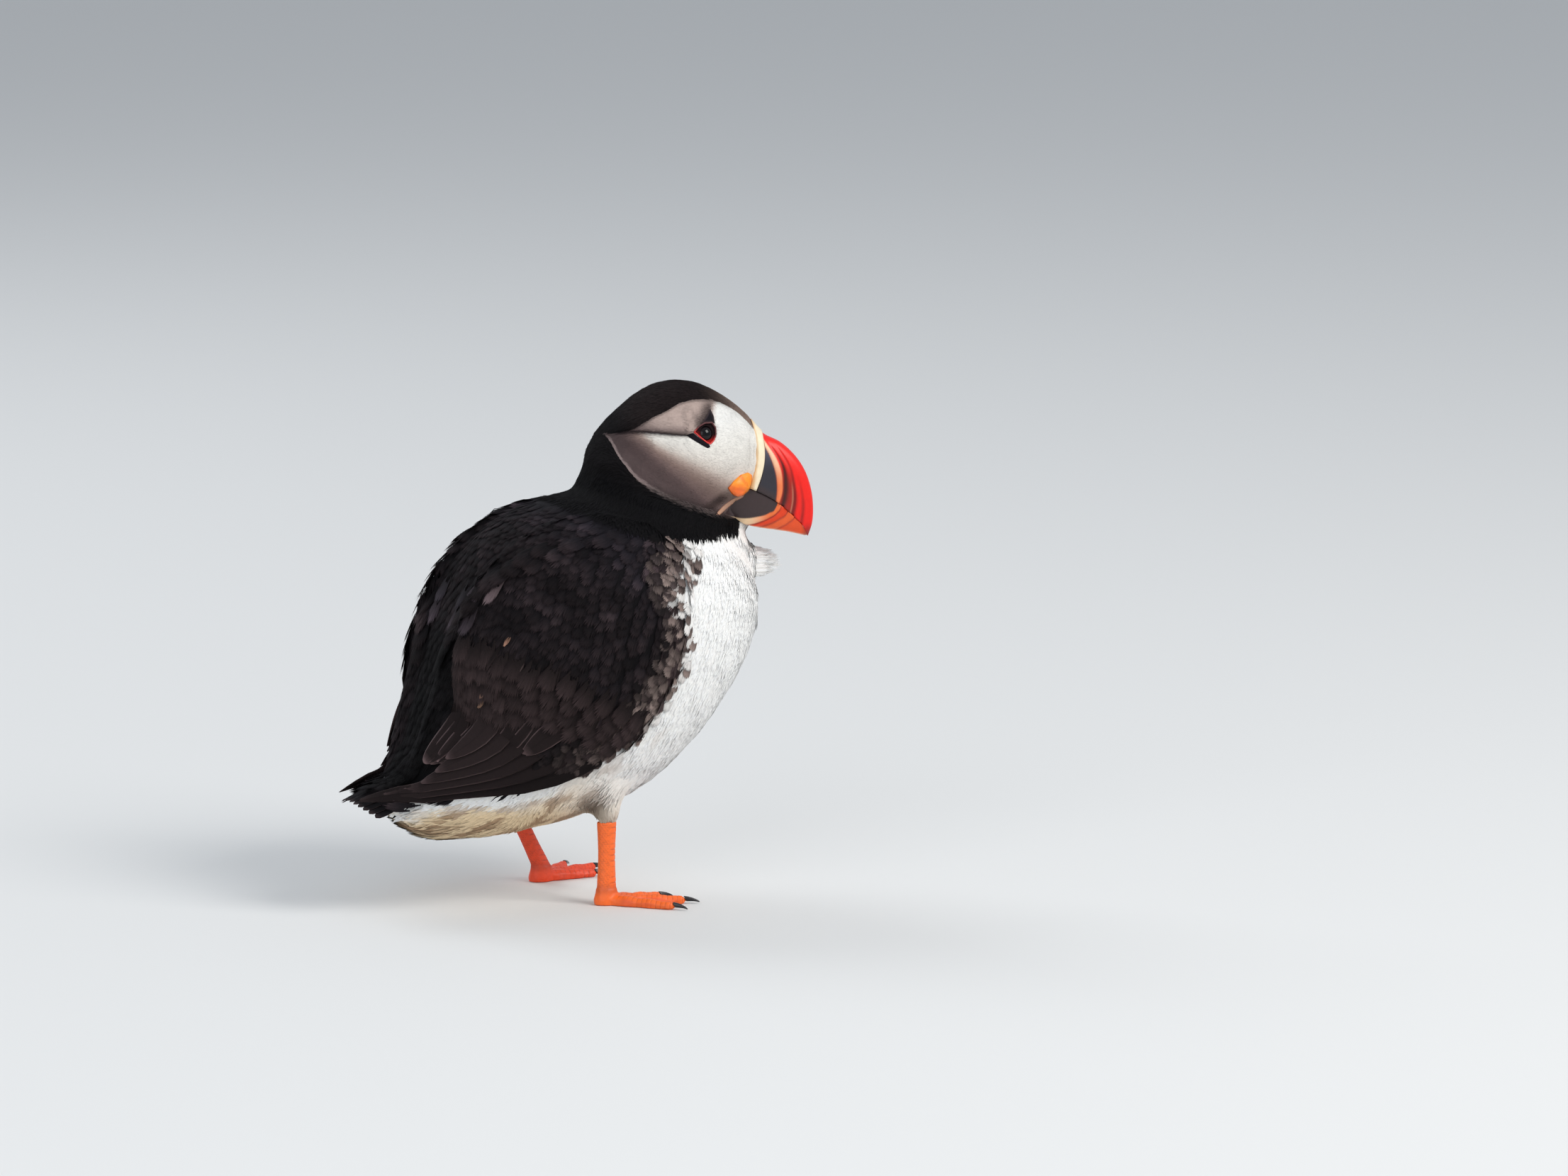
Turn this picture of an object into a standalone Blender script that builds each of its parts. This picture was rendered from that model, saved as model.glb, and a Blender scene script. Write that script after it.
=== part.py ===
"""Atlantic puffin, standing, as a still life-size model.

Sizes are in millimetres in this file and become metres where a mesh is made.
+X is ahead of the bird, +Y is its left, +Z is up, and the floor is Z = 0.

The trunk is described along its own axis, which leans back by TRUNK_PITCH from level:
"along" runs from the rump to the neck, "back" is square to it, towards the bird's back.
The head has a frame of its own, with its origin in the middle of the skull.
"""

import math

import bmesh
import bpy
from mathutils import Matrix, Vector
from mathutils.bvhtree import BVHTree

MM = 0.001
GAP = 0.3  # clearance between neighbouring solids

# ---- driving dimensions ---------------------------------------------------------------

ORIGIN_X = -3.25  # the box's middle, measured from the trunk's own middle
ORIGIN_Y = 0.0

TRUNK_MIDDLE = Vector((0.0, 0.0, 83.5))
TRUNK_PITCH = math.radians(50)
ALONG = Vector((math.cos(TRUNK_PITCH), 0, math.sin(TRUNK_PITCH)))
BACK = Vector((-math.sin(TRUNK_PITCH), 0, math.cos(TRUNK_PITCH)))
TAIL_WAY = Vector((-0.93, 0, -0.37)).normalized()

# along, back line, belly line, half width
TRUNK = (
    (-87.0, 27.0, 19.0, 2.0),
    (-85.0, 32.5, 12.0, 12.0),
    (-80.0, 36.5, 4.0, 19.0),
    (-65.0, 42.5, -12.5, 29.0),
    (-45.0, 51.5, -30.0, 38.0),
    (-20.0, 62.0, -44.5, 44.0),
    (5.0, 66.0, -50.0, 46.5),
    (30.0, 61.5, -50.0, 45.0),
    (50.0, 48.5, -46.0, 39.5),
    (65.0, 33.0, -38.0, 31.0),
    (75.0, 16.0, -20.0, 19.0),
    (78.5, 2.0, -4.0, 3.0),
)
TRUNK_SQUARENESS = 2.15  # 2 is an ellipse

# height, middle ahead, half length, half width
NECK = (
    (98.5, 14.0, 38.0, 36.0),
    (121.0, 27.0, 39.5, 31.0),
    (132.0, 30.5, 38.0, 28.5),
    (140.0, 30.0, 34.5, 27.0),
    (150.5, 28.5, 30.5, 25.5),
    (166.5, 31.0, 26.5, 22.0),
)

TUFT_ROOT, TUFT_TIP = Vector((60.0, -5.0, 123.5)), Vector((78.0, -6.0, 121.0))
TUFT_HALF = ((10.0, 3.6), (9.0, 2.4))  # high at its root and tip, wide at its root and tip

HEAD_MIDDLE = Vector((35.3, 0.0, 162.0))
HEAD_YAW = math.radians(-20)
# ahead, crown, underside, half width
HEAD = (
    (-31.0, 2.0, -3.0, 1.5),
    (-29.5, 6.5, -8.0, 8.0),
    (-26.0, 12.5, -14.0, 14.0),
    (-17.0, 22.0, -20.0, 20.0),
    (-6.0, 29.6, -24.0, 23.6),
    (5.0, 31.9, -24.5, 24.6),
    (15.0, 29.7, -23.0, 22.8),
    (24.0, 24.6, -19.5, 18.6),
    (30.0, 19.8, -12.5, 13.6),
    (33.5, 16.0, -6.5, 9.8),
    (35.0, 12.0, -1.0, 4.0),
)

CLAY_VOXEL = 1.5
CLAY_SMOOTHING = 6
CLAY_KEPT = 0.0168  # share of the fine surface's triangles that the facets keep

# the white face, in the head's frame: ahead, its upper edge, its lower edge
FACE = (
    (-21.8, 12.5, 12.0),
    (-19.5, 12.7, 7.0),
    (-13.7, 13.2, -2.7),
    (-6.0, 16.9, -9.8),
    (3.0, 21.4, -14.8),
    (11.0, 23.3, -17.9),
    (18.0, 23.3, -18.5),
    (26.0, 20.6, -13.5),
    (34.0, 14.6, -8.0),
)
FACE_INNER = 9.8  # no deeper than this from the middle, which clears the bill's root
# the dark back, in the trunk's frame: along, and how far out its side edge lies
MANTLE = ((-95.0, 46.0), (-82.0, 37.0), (-70.0, 32.0), (-45.0, 33.0), (-15.0, 39.0), (15.0, 39.0), (40.0, 30.0),
          (60.0, 12.0))

# the bill, in the head's frame: curves as (ahead, up) from its base to its tip
CULMEN = ((32.4, 15.8), (37.2, 10.7), (43.8, 7.2), (49.2, 2.2), (53.0, -3.6),
          (55.3, -10.5), (56.1, -17.0), (55.8, -23.2), (54.2, -28.7))
GAPE_LINE = ((30.2, -8.6), (34.2, -10.5), (38.0, -12.4), (42.2, -15.0), (46.0, -18.2),
             (49.2, -21.3), (51.8, -24.2), (53.2, -26.6), (53.8, -28.2))
GONYS = ((20.8, -19.6), (25.0, -21.7), (29.0, -23.4), (33.6, -24.7), (38.2, -25.5),
         (42.8, -26.2), (46.8, -26.9), (50.2, -27.7), (52.8, -28.4))
BILL_HALF_WIDTH = (8.2, 7.6, 6.9, 6.1, 5.2, 4.3, 3.4, 2.4, 0.8)
# sections lean: where each meets the culmen, as a share of the way along it, for its place on the gape line
LEAN = ((0.0, 0.0), (0.12, 0.11), (0.14, 0.12), (0.37, 0.17), (0.5, 0.29), (0.65, 0.48), (0.8, 0.72), (1.0, 1.0))
BOW = ((0.0, 2.6), (0.12, 1.9), (0.4, 1.5), (0.7, 1.2), (1.0, 0.0))  # how far a section's middle is ahead
CERE_END = 0.12  # share of the gape line under the pale band at the upper bill's base
CERE_PROUD = 0.7
UPPER_GROOVES = (0.40, 0.54, 0.68)  # where the furrows across each side are, by share of the gape line
LOWER_GROOVES = (0.40, 0.54, 0.68)
GROOVE_DEPTH = 0.35
GROOVE_HALF_WIDTH = 0.025

EYE_AT = (13.8, 13.4)  # in the head's frame, ahead and up
EYE_RADIUS = 3.7
EYE_PROUD = 0.9  # how far its front stands over the skin
ROSETTE_AT = (27.2, -6.6)
ROSETTE_SIZE = (5.9, 1.9, 4.5)
ROSETTE_TILT = math.radians(30)
UPPER_PLATE = ((11.4, 17.0), (16.6, 17.4), (13.9, 22.6))
LOWER_PLATE = ((8.0, 12.4), (8.8, 10.8), (14.6, 8.2), (15.9, 9.5))
PLATE_DEPTH = 1.4
PLATE_PROUD = 0.7

# folded wing, on the trunk: along, angle of its lower edge from the back line, of its upper edge,
# and how far it stands off the trunk
WING = (
    (57.0, 76.0, 50.0, 2.2),
    (50.0, 86.0, 34.0, 4.6),
    (36.0, 97.0, 26.0, 6.2),
    (18.0, 105.0, 22.0, 6.6),
    (0.0, 111.0, 21.0, 6.2),
    (-18.0, 112.0, 24.0, 5.6),
    (-32.0, 107.0, 31.0, 4.8),
    (-42.0, 101.0, 42.0, 3.6),
)
WING_TIP = (
    (-43.0, 100.0, 44.0, 3.4),
    (-52.0, 92.0, 43.0, 3.2),
    (-62.0, 78.0, 36.0, 3.0),
    (-72.0, 60.0, 27.0, 2.8),
    (-80.0, 44.0, 18.0, 2.6),
    (-88.0, 31.0, 13.0, 2.2),
    (-92.0, 22.0, 15.0, 1.6),
)
WING_ROOT_DEPTH = 2.5  # how far a wing is first made into the trunk, before it is cut to fit
RUMP_END = -74.0  # behind this the wing tips follow the tail

TAIL_ROOT = Vector((-60.0, 0.0, 56.0))
TAIL_LENGTH = 34.5
TAIL_HALF_WIDTHS = (10.0, 12.5, 15.5, 18.5, 20.5, 19.0, 12.0)
TAIL_THICK = (3.4, 1.4)  # at its root and at its tip
TAIL_ARCH = 4.0

# legs: ankle and top of the bare leg, and the way the foot points, for the right and left
LEGS = {
    "right": {"ankle": (-0.7, -26.0), "knee": (0.0, -25.0, 38.5), "side": -1},
    "left": {"ankle": (-5.0, 26.0), "knee": (-21.0, 25.5, 38.5), "side": 1},
}
TOE_OUT = math.radians(25)
ANKLE_HEIGHT = 6.0
THIGH_BALL = (13.0, 9.5, 15.0)  # the thigh is what this holds of the belly
THIGH_BALL_HEIGHT = 42.5
LEG_HALF = (4.0, 3.0)  # ahead and across, at the top
LEG_WAIST = 0.83  # its thinnest stretch, as a share of the top
THIGH_TOP, THIGH_END = 50.5, 31.5
THIGH_HALF = (13.0, 5.8)  # where it leaves the belly, and at its end

# toes: angle from the foot's own line (towards the other foot is positive), length, knuckle radius
TOES = {"inner": (27.0, 21.5, 2.4), "middle": (2.0, 28.5, 2.6), "outer": (-23.0, 27.0, 2.4)}
TOE_HEIGHT = 1.3
WEB_THICK = 1.1
WEB_REACH = 0.93  # share of each toe that the web runs along
WEB_SAG = 0.86  # the free edge's middle, as a share of the straight line's distance
CLAW_LENGTH = 7.4
CLAW_ROOT = 1.4  # how much of it starts inside the toe, before it is cut to fit
CLAW_RADIUS = 1.25
FOOT_VOXEL = 0.55
FOOT_KEPT = 0.027


# ---- small helpers --------------------------------------------------------------------


def curve_through(rows, at):
    """The rows' values at a place along them, by a smooth curve through every row."""
    keys = [row[0] for row in rows]
    rising = keys[-1] > keys[0]
    if not rising:
        rows, keys = rows[::-1], keys[::-1]
    at = min(max(at, keys[0]), keys[-1])
    i = max(k for k in range(len(keys) - 1) if keys[k] <= at)
    span = keys[i + 1] - keys[i]
    t = (at - keys[i]) / span
    out = []
    for column in range(1, len(rows[0])):
        v = [row[column] for row in rows]
        slopes = []
        for k in (i, i + 1):
            lo, hi = max(k - 1, 0), min(k + 1, len(v) - 1)
            slopes.append((v[hi] - v[lo]) / (keys[hi] - keys[lo]) * span)
        a, b = v[i], v[i + 1]
        out.append(
            a * (2 * t**3 - 3 * t**2 + 1) + slopes[0] * (t**3 - 2 * t**2 + t)
            + b * (3 * t**2 - 2 * t**3) + slopes[1] * (t**3 - t**2)
        )
    return out


def steps(first, last, count):
    """count places from first to last, both included."""
    return [first + (last - first) * i / (count - 1) for i in range(count)]


def closer_at_ends(first, last, count):
    """Places from first to last that crowd towards both, as a round end needs."""
    return [first + (last - first) * (1 - math.cos(math.pi * t)) / 2 for t in steps(0, 1, count)]


def signed_power(value, power):
    return math.copysign(abs(value) ** power, value)


def colour(name, rgb, roughness, metallic=0.0):
    """A Principled BSDF of one colour."""
    made = bpy.data.materials.new(name)
    made.use_nodes = True
    made.diffuse_color = (*rgb, 1)
    shader = made.node_tree.nodes["Principled BSDF"]
    shader.inputs["Base Color"].default_value = (*rgb, 1)
    shader.inputs["Roughness"].default_value = roughness
    shader.inputs["Metallic"].default_value = metallic
    return made


def loft(rings, bm=None):
    """A closed skin through rings of points; a ring of one point closes an end."""
    bm = bm or bmesh.new()
    made = [[bm.verts.new(Vector(p) * MM) for p in ring] for ring in rings]
    for one, two in zip(made, made[1:]):
        count = max(len(one), len(two))
        for i in range(count):
            j = (i + 1) % count
            corners = [one[i % len(one)], one[j % len(one)], two[j % len(two)], two[i % len(two)]]
            bm.faces.new(list(dict.fromkeys(corners)))
    for ring in (made[0], made[-1]):
        count = len(ring)
        for i in range((count - 1) // 2):  # each end closed by strips from side to side
            corners = [ring[i], ring[i + 1], ring[count - 2 - i], ring[count - 1 - i]]
            bm.faces.new(list(dict.fromkeys(corners)))
    bmesh.ops.recalc_face_normals(bm, faces=bm.faces)
    return bm


def mesh_object(name, bm, material, collection, smooth=True):
    """Turns a bmesh into an object whose origin is the model's."""
    mesh = bpy.data.meshes.new(name)
    bm.to_mesh(mesh)
    bm.free()
    if smooth:
        mesh.shade_smooth()
    made = bpy.data.objects.new(name, mesh)
    if material:
        mesh.materials.append(material)
    collection.objects.link(made)
    return made


def evaluated_bmesh(obj):
    """A bmesh of the object with its modifiers applied."""
    bpy.context.view_layer.update()
    graph = bpy.context.evaluated_depsgraph_get()
    bm = bmesh.new()
    bm.from_object(obj, graph)
    return bm


def as_clay(bm, voxel, smoothing, kept, collection):
    """Fuses overlapping forms into one soft closed surface and thins its facets."""
    lump = mesh_object("clay", bm, None, collection)
    fuse = lump.modifiers.new("fuse", "REMESH")
    fuse.mode = "VOXEL"
    fuse.voxel_size = voxel * MM
    soften = lump.modifiers.new("soften", "SMOOTH")
    soften.factor = 0.5
    soften.iterations = smoothing
    thin = lump.modifiers.new("thin", "DECIMATE")
    thin.ratio = kept
    made = evaluated_bmesh(lump)
    bpy.data.objects.remove(lump)
    return made


def halved(bm, point, normal):
    """Cuts away what lies ahead of a plane and closes the cut."""
    geometry = bm.verts[:] + bm.edges[:] + bm.faces[:]
    cut = bmesh.ops.bisect_plane(
        bm, geom=geometry, dist=1e-7, plane_co=Vector(point) * MM, plane_no=normal, clear_outer=True
    )
    rim = [e for e in cut["geom_cut"] if isinstance(e, bmesh.types.BMEdge)]
    bmesh.ops.holes_fill(bm, edges=rim, sides=0)
    bmesh.ops.recalc_face_normals(bm, faces=bm.faces)
    return bm


def cut_with(obj, cutter, name, operation="DIFFERENCE"):
    """Takes the cutter's shape out of the object, or keeps what lies inside it."""
    cut = obj.modifiers.new(name, "BOOLEAN")
    cut.operation = operation
    cut.solver = "EXACT"
    cut.object = cutter


def as_cutter(obj):
    obj.hide_render = True
    obj.display_type = "WIRE"
    return obj


def clearance_of(bm, name, cutters):
    """A cutter a gap larger all over than a form."""
    sheath = as_cutter(mesh_object(name, bm, None, cutters))
    grow = sheath.modifiers.new("clearance", "DISPLACE")
    grow.direction = "NORMAL"
    grow.mid_level = 0
    grow.strength = GAP * MM
    return sheath


# ---- trunk, neck and head -------------------------------------------------------------


def on_trunk(along, angle, lift=0.0, side=1):
    """A point on the trunk: angle in degrees from the back line round the bird's side."""
    slide = min(0.0, along - RUMP_END) if lift else 0.0
    back, belly, half_width = curve_through(TRUNK, along - slide)
    middle, depth = (back + belly) / 2, (back - belly) / 2
    turn = math.radians(angle)
    power = 2 / TRUNK_SQUARENESS
    up = signed_power(math.cos(turn), power)
    out = signed_power(math.sin(turn), power)
    place = TRUNK_MIDDLE + ALONG * (along - slide) + BACK * (middle + (depth + lift) * up)
    place.y += (half_width + lift) * out * side
    return place - TAIL_WAY * slide


def trunk_form(bm):
    """The trunk's loft, closed at the rump and inside the neck."""
    rings = [
        [on_trunk(along, angle) for angle in steps(0, 352.5, 48)]
        for along in closer_at_ends(TRUNK[0][0], TRUNK[-1][0], 40)
    ]
    return loft(rings, bm)


def neck_form(bm):
    rings = []
    for height in steps(NECK[0][0], NECK[-1][0], 14):
        ahead, half_length, half_width = curve_through(NECK, height)
        rings.append([
            (ahead + half_length * math.cos(t), half_width * math.sin(t), height)
            for t in steps(0, math.tau * 35 / 36, 36)
        ])
    return loft(rings, bm)


def tuft_form(bm):
    """The lock of breast feathers that stands away from the rest."""
    rings = []
    for t in steps(0, 1, 6):
        middle = TUFT_ROOT.lerp(TUFT_TIP, t)
        high, wide = (a + (b - a) * t for a, b in TUFT_HALF)
        rings.append([
            middle + Vector((0.45 * high * math.cos(a), wide * math.sin(a), high * math.cos(a)))
            for a in steps(0, math.tau * 11 / 12, 12)
        ])
    return loft(rings, bm)


def from_head(ahead, left, up):
    """A place in the head's frame, in the model's."""
    return HEAD_MIDDLE + Matrix.Rotation(HEAD_YAW, 3, "Z") @ Vector((ahead, left, up))


def head_form(bm):
    rings = []
    for ahead in closer_at_ends(HEAD[0][0], HEAD[-1][0], 26):
        crown, under, half_width = curve_through(HEAD, ahead)
        middle, depth = (crown + under) / 2, (crown - under) / 2
        rings.append([
            from_head(ahead, half_width * math.sin(t), middle + depth * math.cos(t))
            for t in steps(0, math.tau * 39 / 40, 40)
        ])
    return loft(rings, bm)


def thigh_form(bm, leg):
    """The feathered lobe that the bare leg comes out of."""
    ankle, knee = Vector((*leg["ankle"], ANKLE_HEIGHT)), Vector(leg["knee"])
    rings = []
    for t in steps(0, 1, 9):
        height = THIGH_TOP + (THIGH_END - THIGH_TOP) * t
        middle = ankle + (knee - ankle) * ((height - ankle.z) / (knee.z - ankle.z))
        half = THIGH_HALF[0] + (THIGH_HALF[1] - THIGH_HALF[0]) * math.sin(t * math.pi / 2)
        rings.append([
            (middle.x + half * math.cos(a), middle.y + 0.8 * half * math.sin(a), height)
            for a in steps(0, math.tau * 23 / 24, 24)
        ])
    return loft(rings, bm)


# the plane that parts head and neck: a point, and a normal towards the head
HEAD_CUT = (Vector((28.0, 0, 152.5)), Vector((0.37, 0, 0.93)).normalized())
# the line, from behind the nape to ahead of the breast, that parts neck and trunk
COLLAR = ((-40.0, 170.0), (-8.0, 146.5), (12.0, 138.5), (30.0, 133.8), (50.0, 136.4), (85.0, 140.4))


def ball(name, centre, size, turn, material, collection, segments=14, rings=7):
    """A ball or a stretched one, by its half sizes, turned as given."""
    bm = bmesh.new()
    bmesh.ops.create_uvsphere(bm, u_segments=segments, v_segments=rings, radius=1.0)
    shape = Matrix.Translation(centre * MM) @ turn @ Matrix.Diagonal((*[s * MM for s in size], 1))
    bmesh.ops.transform(bm, matrix=shape, verts=bm.verts)
    bmesh.ops.recalc_face_normals(bm, faces=bm.faces)
    return mesh_object(name, bm, material, collection)


def face_block(side, grow):
    """A block that holds one side of the white face, down to inside the skull."""
    widths = [(row[0], row[3]) for row in HEAD]
    rings = []
    for ahead in steps(FACE[0][0] - grow, FACE[-1][0] + grow, 15):
        top, low = curve_through(FACE, ahead)
        (half,) = curve_through(widths, ahead)
        inner = max(FACE_INNER, 0.75 * half - 6.0) - grow
        rings.append([
            from_head(ahead, side * out, up)
            for out, up in ((inner, low - grow), (inner, top + grow), (45.0, top + grow), (45.0, low - grow))
        ])
    return loft(rings)


def across_body(line, far):
    """A prism as wide as the whole body, between a line in its middle plane and points beyond it."""
    outline = [*line, *far]
    return loft_prism([[p + Vector((0, out, 0)) for p in outline] for out in (-70, 70)])


def loft_prism(rings):
    """A closed prism whose ends may be any flat shape."""
    bm = bmesh.new()
    made = [[bm.verts.new(p * MM) for p in ring] for ring in rings]
    count = len(made[0])
    for i in range(count):
        j = (i + 1) % count
        bm.faces.new((made[0][i], made[0][j], made[1][j], made[1][i]))
    for ring in made:
        bm.faces.new(ring)
    bmesh.ops.recalc_face_normals(bm, faces=bm.faces)
    return bm


def mantle_block(grow):
    """Everything behind the line where the dark back ends, across the whole body."""
    places = steps(MANTLE[0][0], MANTLE[-1][0], 18)
    line = [TRUNK_MIDDLE + ALONG * p + BACK * (curve_through(MANTLE, p)[0] - grow) for p in places]
    first, last = MANTLE[0][0], 130
    line.append(TRUNK_MIDDLE + ALONG * last + BACK * (MANTLE[-1][1] - grow))
    return across_body(line, [TRUNK_MIDDLE + ALONG * p + BACK * 90 for p in (last, first)])


def collar_block(grow):
    """Everything above the line where the neck leaves the trunk."""
    places = steps(COLLAR[0][0], COLLAR[-1][0], 14)
    line = [Vector((x, 0, curve_through(COLLAR, x)[0] - grow)) for x in places]
    return across_body(line, [Vector((x, 0, 230)) for x in (COLLAR[-1][0], COLLAR[0][0])])


def body_solids(nodes, cutters, finishes):
    """Head, neck and trunk as one form parted by thin cuts, and a sheath that clears it."""
    bm = bmesh.new()
    trunk_form(bm)
    neck_form(bm)
    head_form(bm)
    tuft_form(bm)
    for leg in LEGS.values():
        thigh_form(bm, leg)
    whole = as_clay(bm, CLAY_VOXEL, CLAY_SMOOTHING, CLAY_KEPT, nodes)
    surface = BVHTree.FromBMesh(whole)

    collar = as_cutter(mesh_object("collar_block", collar_block(0), None, cutters))
    collar_room = as_cutter(mesh_object("collar_room", collar_block(GAP), None, cutters))

    def piece(name, side, material):
        """The whole form, or what lies on one side of the plane under the head."""
        bm = whole.copy()
        if side:
            point, normal = HEAD_CUT
            halved(bm, point + side * normal * GAP / 2, -side * normal)
        return mesh_object(name, bm, material, nodes, smooth=False)

    def inlay(name, inside, room, hosts, material):
        """A piece of the form that a block holds, and its hosts without it."""
        made = piece(name, 0, material)
        cut_with(made, as_cutter(mesh_object(f"{name}_block", inside, None, cutters)), "kept", "INTERSECT")
        room = as_cutter(mesh_object(f"{name}_room", room, None, cutters))
        for host in hosts:
            cut_with(host, room, name)
        return made

    head = piece("head", 1, finishes["black"])
    neck = piece("neck", -1, finishes["black"])
    trunk = piece("trunk", 0, finishes["white"])
    cut_with(head, collar, "above_collar", "INTERSECT")
    cut_with(neck, collar, "above_collar", "INTERSECT")
    cut_with(trunk, collar_room, "below_collar")
    mantle = inlay("mantle", mantle_block(0), mantle_block(GAP), [trunk], finishes["black"])
    cut_with(mantle, collar_room, "below_collar")
    faces = {}
    for name, side in (("left", 1), ("right", -1)):
        blocks = face_block(side, 0), face_block(side, GAP)
        faces[side] = inlay(f"face_{name}", *blocks, [head, neck], finishes["white"])
        leg = LEGS[name]
        middle = Vector((leg["knee"][0], leg["knee"][1], THIGH_BALL_HEIGHT))
        thigh = piece(f"thigh_{name}", 0, finishes["white"])
        upright = Matrix.Identity(4)
        block = ball(f"thigh_{name}_block", middle, THIGH_BALL, upright, None, cutters)
        cut_with(thigh, as_cutter(block), "kept", "INTERSECT")
        room = ball(f"thigh_{name}_room", middle, [s + GAP for s in THIGH_BALL], upright, None, cutters)
        cut_with(trunk, as_cutter(room), f"thigh_{name}")
    return head, faces, clearance_of(whole, "body_clearance", cutters), surface


# ---- wings and tail -------------------------------------------------------------------


def wing_form(rows, side, across=8, lengthways=13, edge=1.6):
    """A plate on the trunk's side, thickest in its middle and blunt at its edges."""
    rings = []
    for along in steps(rows[0][0], rows[-1][0], lengthways):
        low, high, lift = curve_through(rows, along)
        outer, inner = [], []
        for t in steps(0, 1, across):
            angle = low + (high - low) * t
            swell = math.sin(math.pi * min(max(t, 0.04), 0.96)) ** 0.45
            outer.append(on_trunk(along, angle, edge + (lift - edge) * swell, side))
            inner.append(on_trunk(along, angle, -WING_ROOT_DEPTH, side))
        rings.append(outer + inner[::-1])
    return loft(rings)


def wing_solids(nodes, cutters, finishes, sheath):
    tail_room = as_cutter(mesh_object("tail_room", tail_form(GAP), None, cutters))
    for name, side in (("left", 1), ("right", -1)):
        arm = mesh_object(f"wing_{name}", wing_form(WING, side), finishes["black"], nodes)
        cut_with(arm, sheath, "fit_to_body")
        quills = wing_form(WING_TIP, side, across=6, lengthways=10, edge=1.2)
        tip = mesh_object(f"wing_tip_{name}", quills, finishes["brown"], nodes)
        cut_with(tip, sheath, "fit_to_body")
        cut_with(tip, tail_room, "fit_to_tail")


def tail_form(grow=0.0):
    """The short fan of tail feathers, arched across and blunt at its end."""
    normal = Vector((-TAIL_WAY.z, 0, TAIL_WAY.x))
    normal *= math.copysign(1, normal.z)
    widest, count = max(TAIL_HALF_WIDTHS), len(TAIL_HALF_WIDTHS)
    rings = []
    for i, half in enumerate(TAIL_HALF_WIDTHS):
        t = i / (count - 1)
        thick = TAIL_THICK[0] + (TAIL_THICK[1] - TAIL_THICK[0]) * t
        top, under = [], []
        for s in steps(-1, 1, 9):
            drop = TAIL_ARCH * s * s * (half / widest) ** 2
            rounded = 3.0 * (1 - s * s) * t
            place = TAIL_ROOT + TAIL_WAY * (TAIL_LENGTH * t + rounded + (grow if t == 1 else 0)) - normal * drop
            place.y = (half + grow) * s
            share = 1 - 0.45 * abs(s) ** 3
            top.append(place + normal * (thick * share / 2 + grow))
            under.append(place - normal * (thick * share / 2 + grow))
        rings.append(top + under[::-1])
    return loft(rings)


# ---- legs and feet --------------------------------------------------------------------


def leg_solid(name, leg, nodes, sheath, finishes):
    """The bare tarsus, oval across, a little waisted, from the foot to the thigh feathers."""
    ankle, knee = Vector((*leg["ankle"], ANKLE_HEIGHT)), Vector(leg["knee"])
    rings = []
    for t in steps(0, 1, 10):
        height = ANKLE_HEIGHT + GAP / 2 + (knee.z - ANKLE_HEIGHT) * t
        middle = ankle + (knee - ankle) * ((height - ankle.z) / (knee.z - ankle.z))
        share = 1 - (1 - LEG_WAIST) * math.sin(math.pi * min(1, t + 0.12)) ** 1.5
        rings.append([
            (middle.x + LEG_HALF[0] * share * math.cos(a), middle.y + LEG_HALF[1] * share * math.sin(a), height)
            for a in steps(0, math.tau * 11 / 12, 12)
        ])
    leg = mesh_object(f"leg_{name}", loft(rings), finishes["orange"], nodes)
    cut_with(leg, sheath, "fit_to_body")


def toe_way(leg, toe):
    """A toe's direction on the floor."""
    turn = leg["side"] * (TOE_OUT - math.radians(TOES[toe][0]))
    return Vector((math.cos(turn), math.sin(turn), 0))


def toe_form(bm, start, end, first, last):
    """A round-ended tapering rod, a little thicker at each joint."""
    way = (end - start).normalized()
    side = way.cross(Vector((0, 0, 1))).normalized()
    up = side.cross(way)
    rings = [[start - way * first]]
    for t in steps(0, 1, 13):
        place = start.lerp(end, t)
        radius = first + (last - first) * t
        if 0 < t < 1:
            radius *= 1 + 0.10 * math.cos(t * math.tau * 3)
        rings.append([
            place + (side * math.cos(a) + up * math.sin(a)) * radius
            for a in steps(0, math.tau * 11 / 12, 12)
        ])
    rings.append([end + way * last])
    loft(rings, bm)


def web_form(bm, heel, one, two):
    """The sheet between two toes, its free edge drawn in."""
    outline = [Vector((heel.x, heel.y, 0))]
    for t in steps(0, 1, 7):
        drawn_in = 1 - (1 - WEB_SAG) * math.sin(math.pi * t)
        edge = heel + (one.lerp(two, t) - heel) * WEB_REACH * drawn_in
        outline.append(Vector((edge.x, edge.y, 0)))
    loft([[p + Vector((0, 0, h)) for p in outline] for h in (-WEB_THICK, WEB_THICK)], bm)


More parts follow.
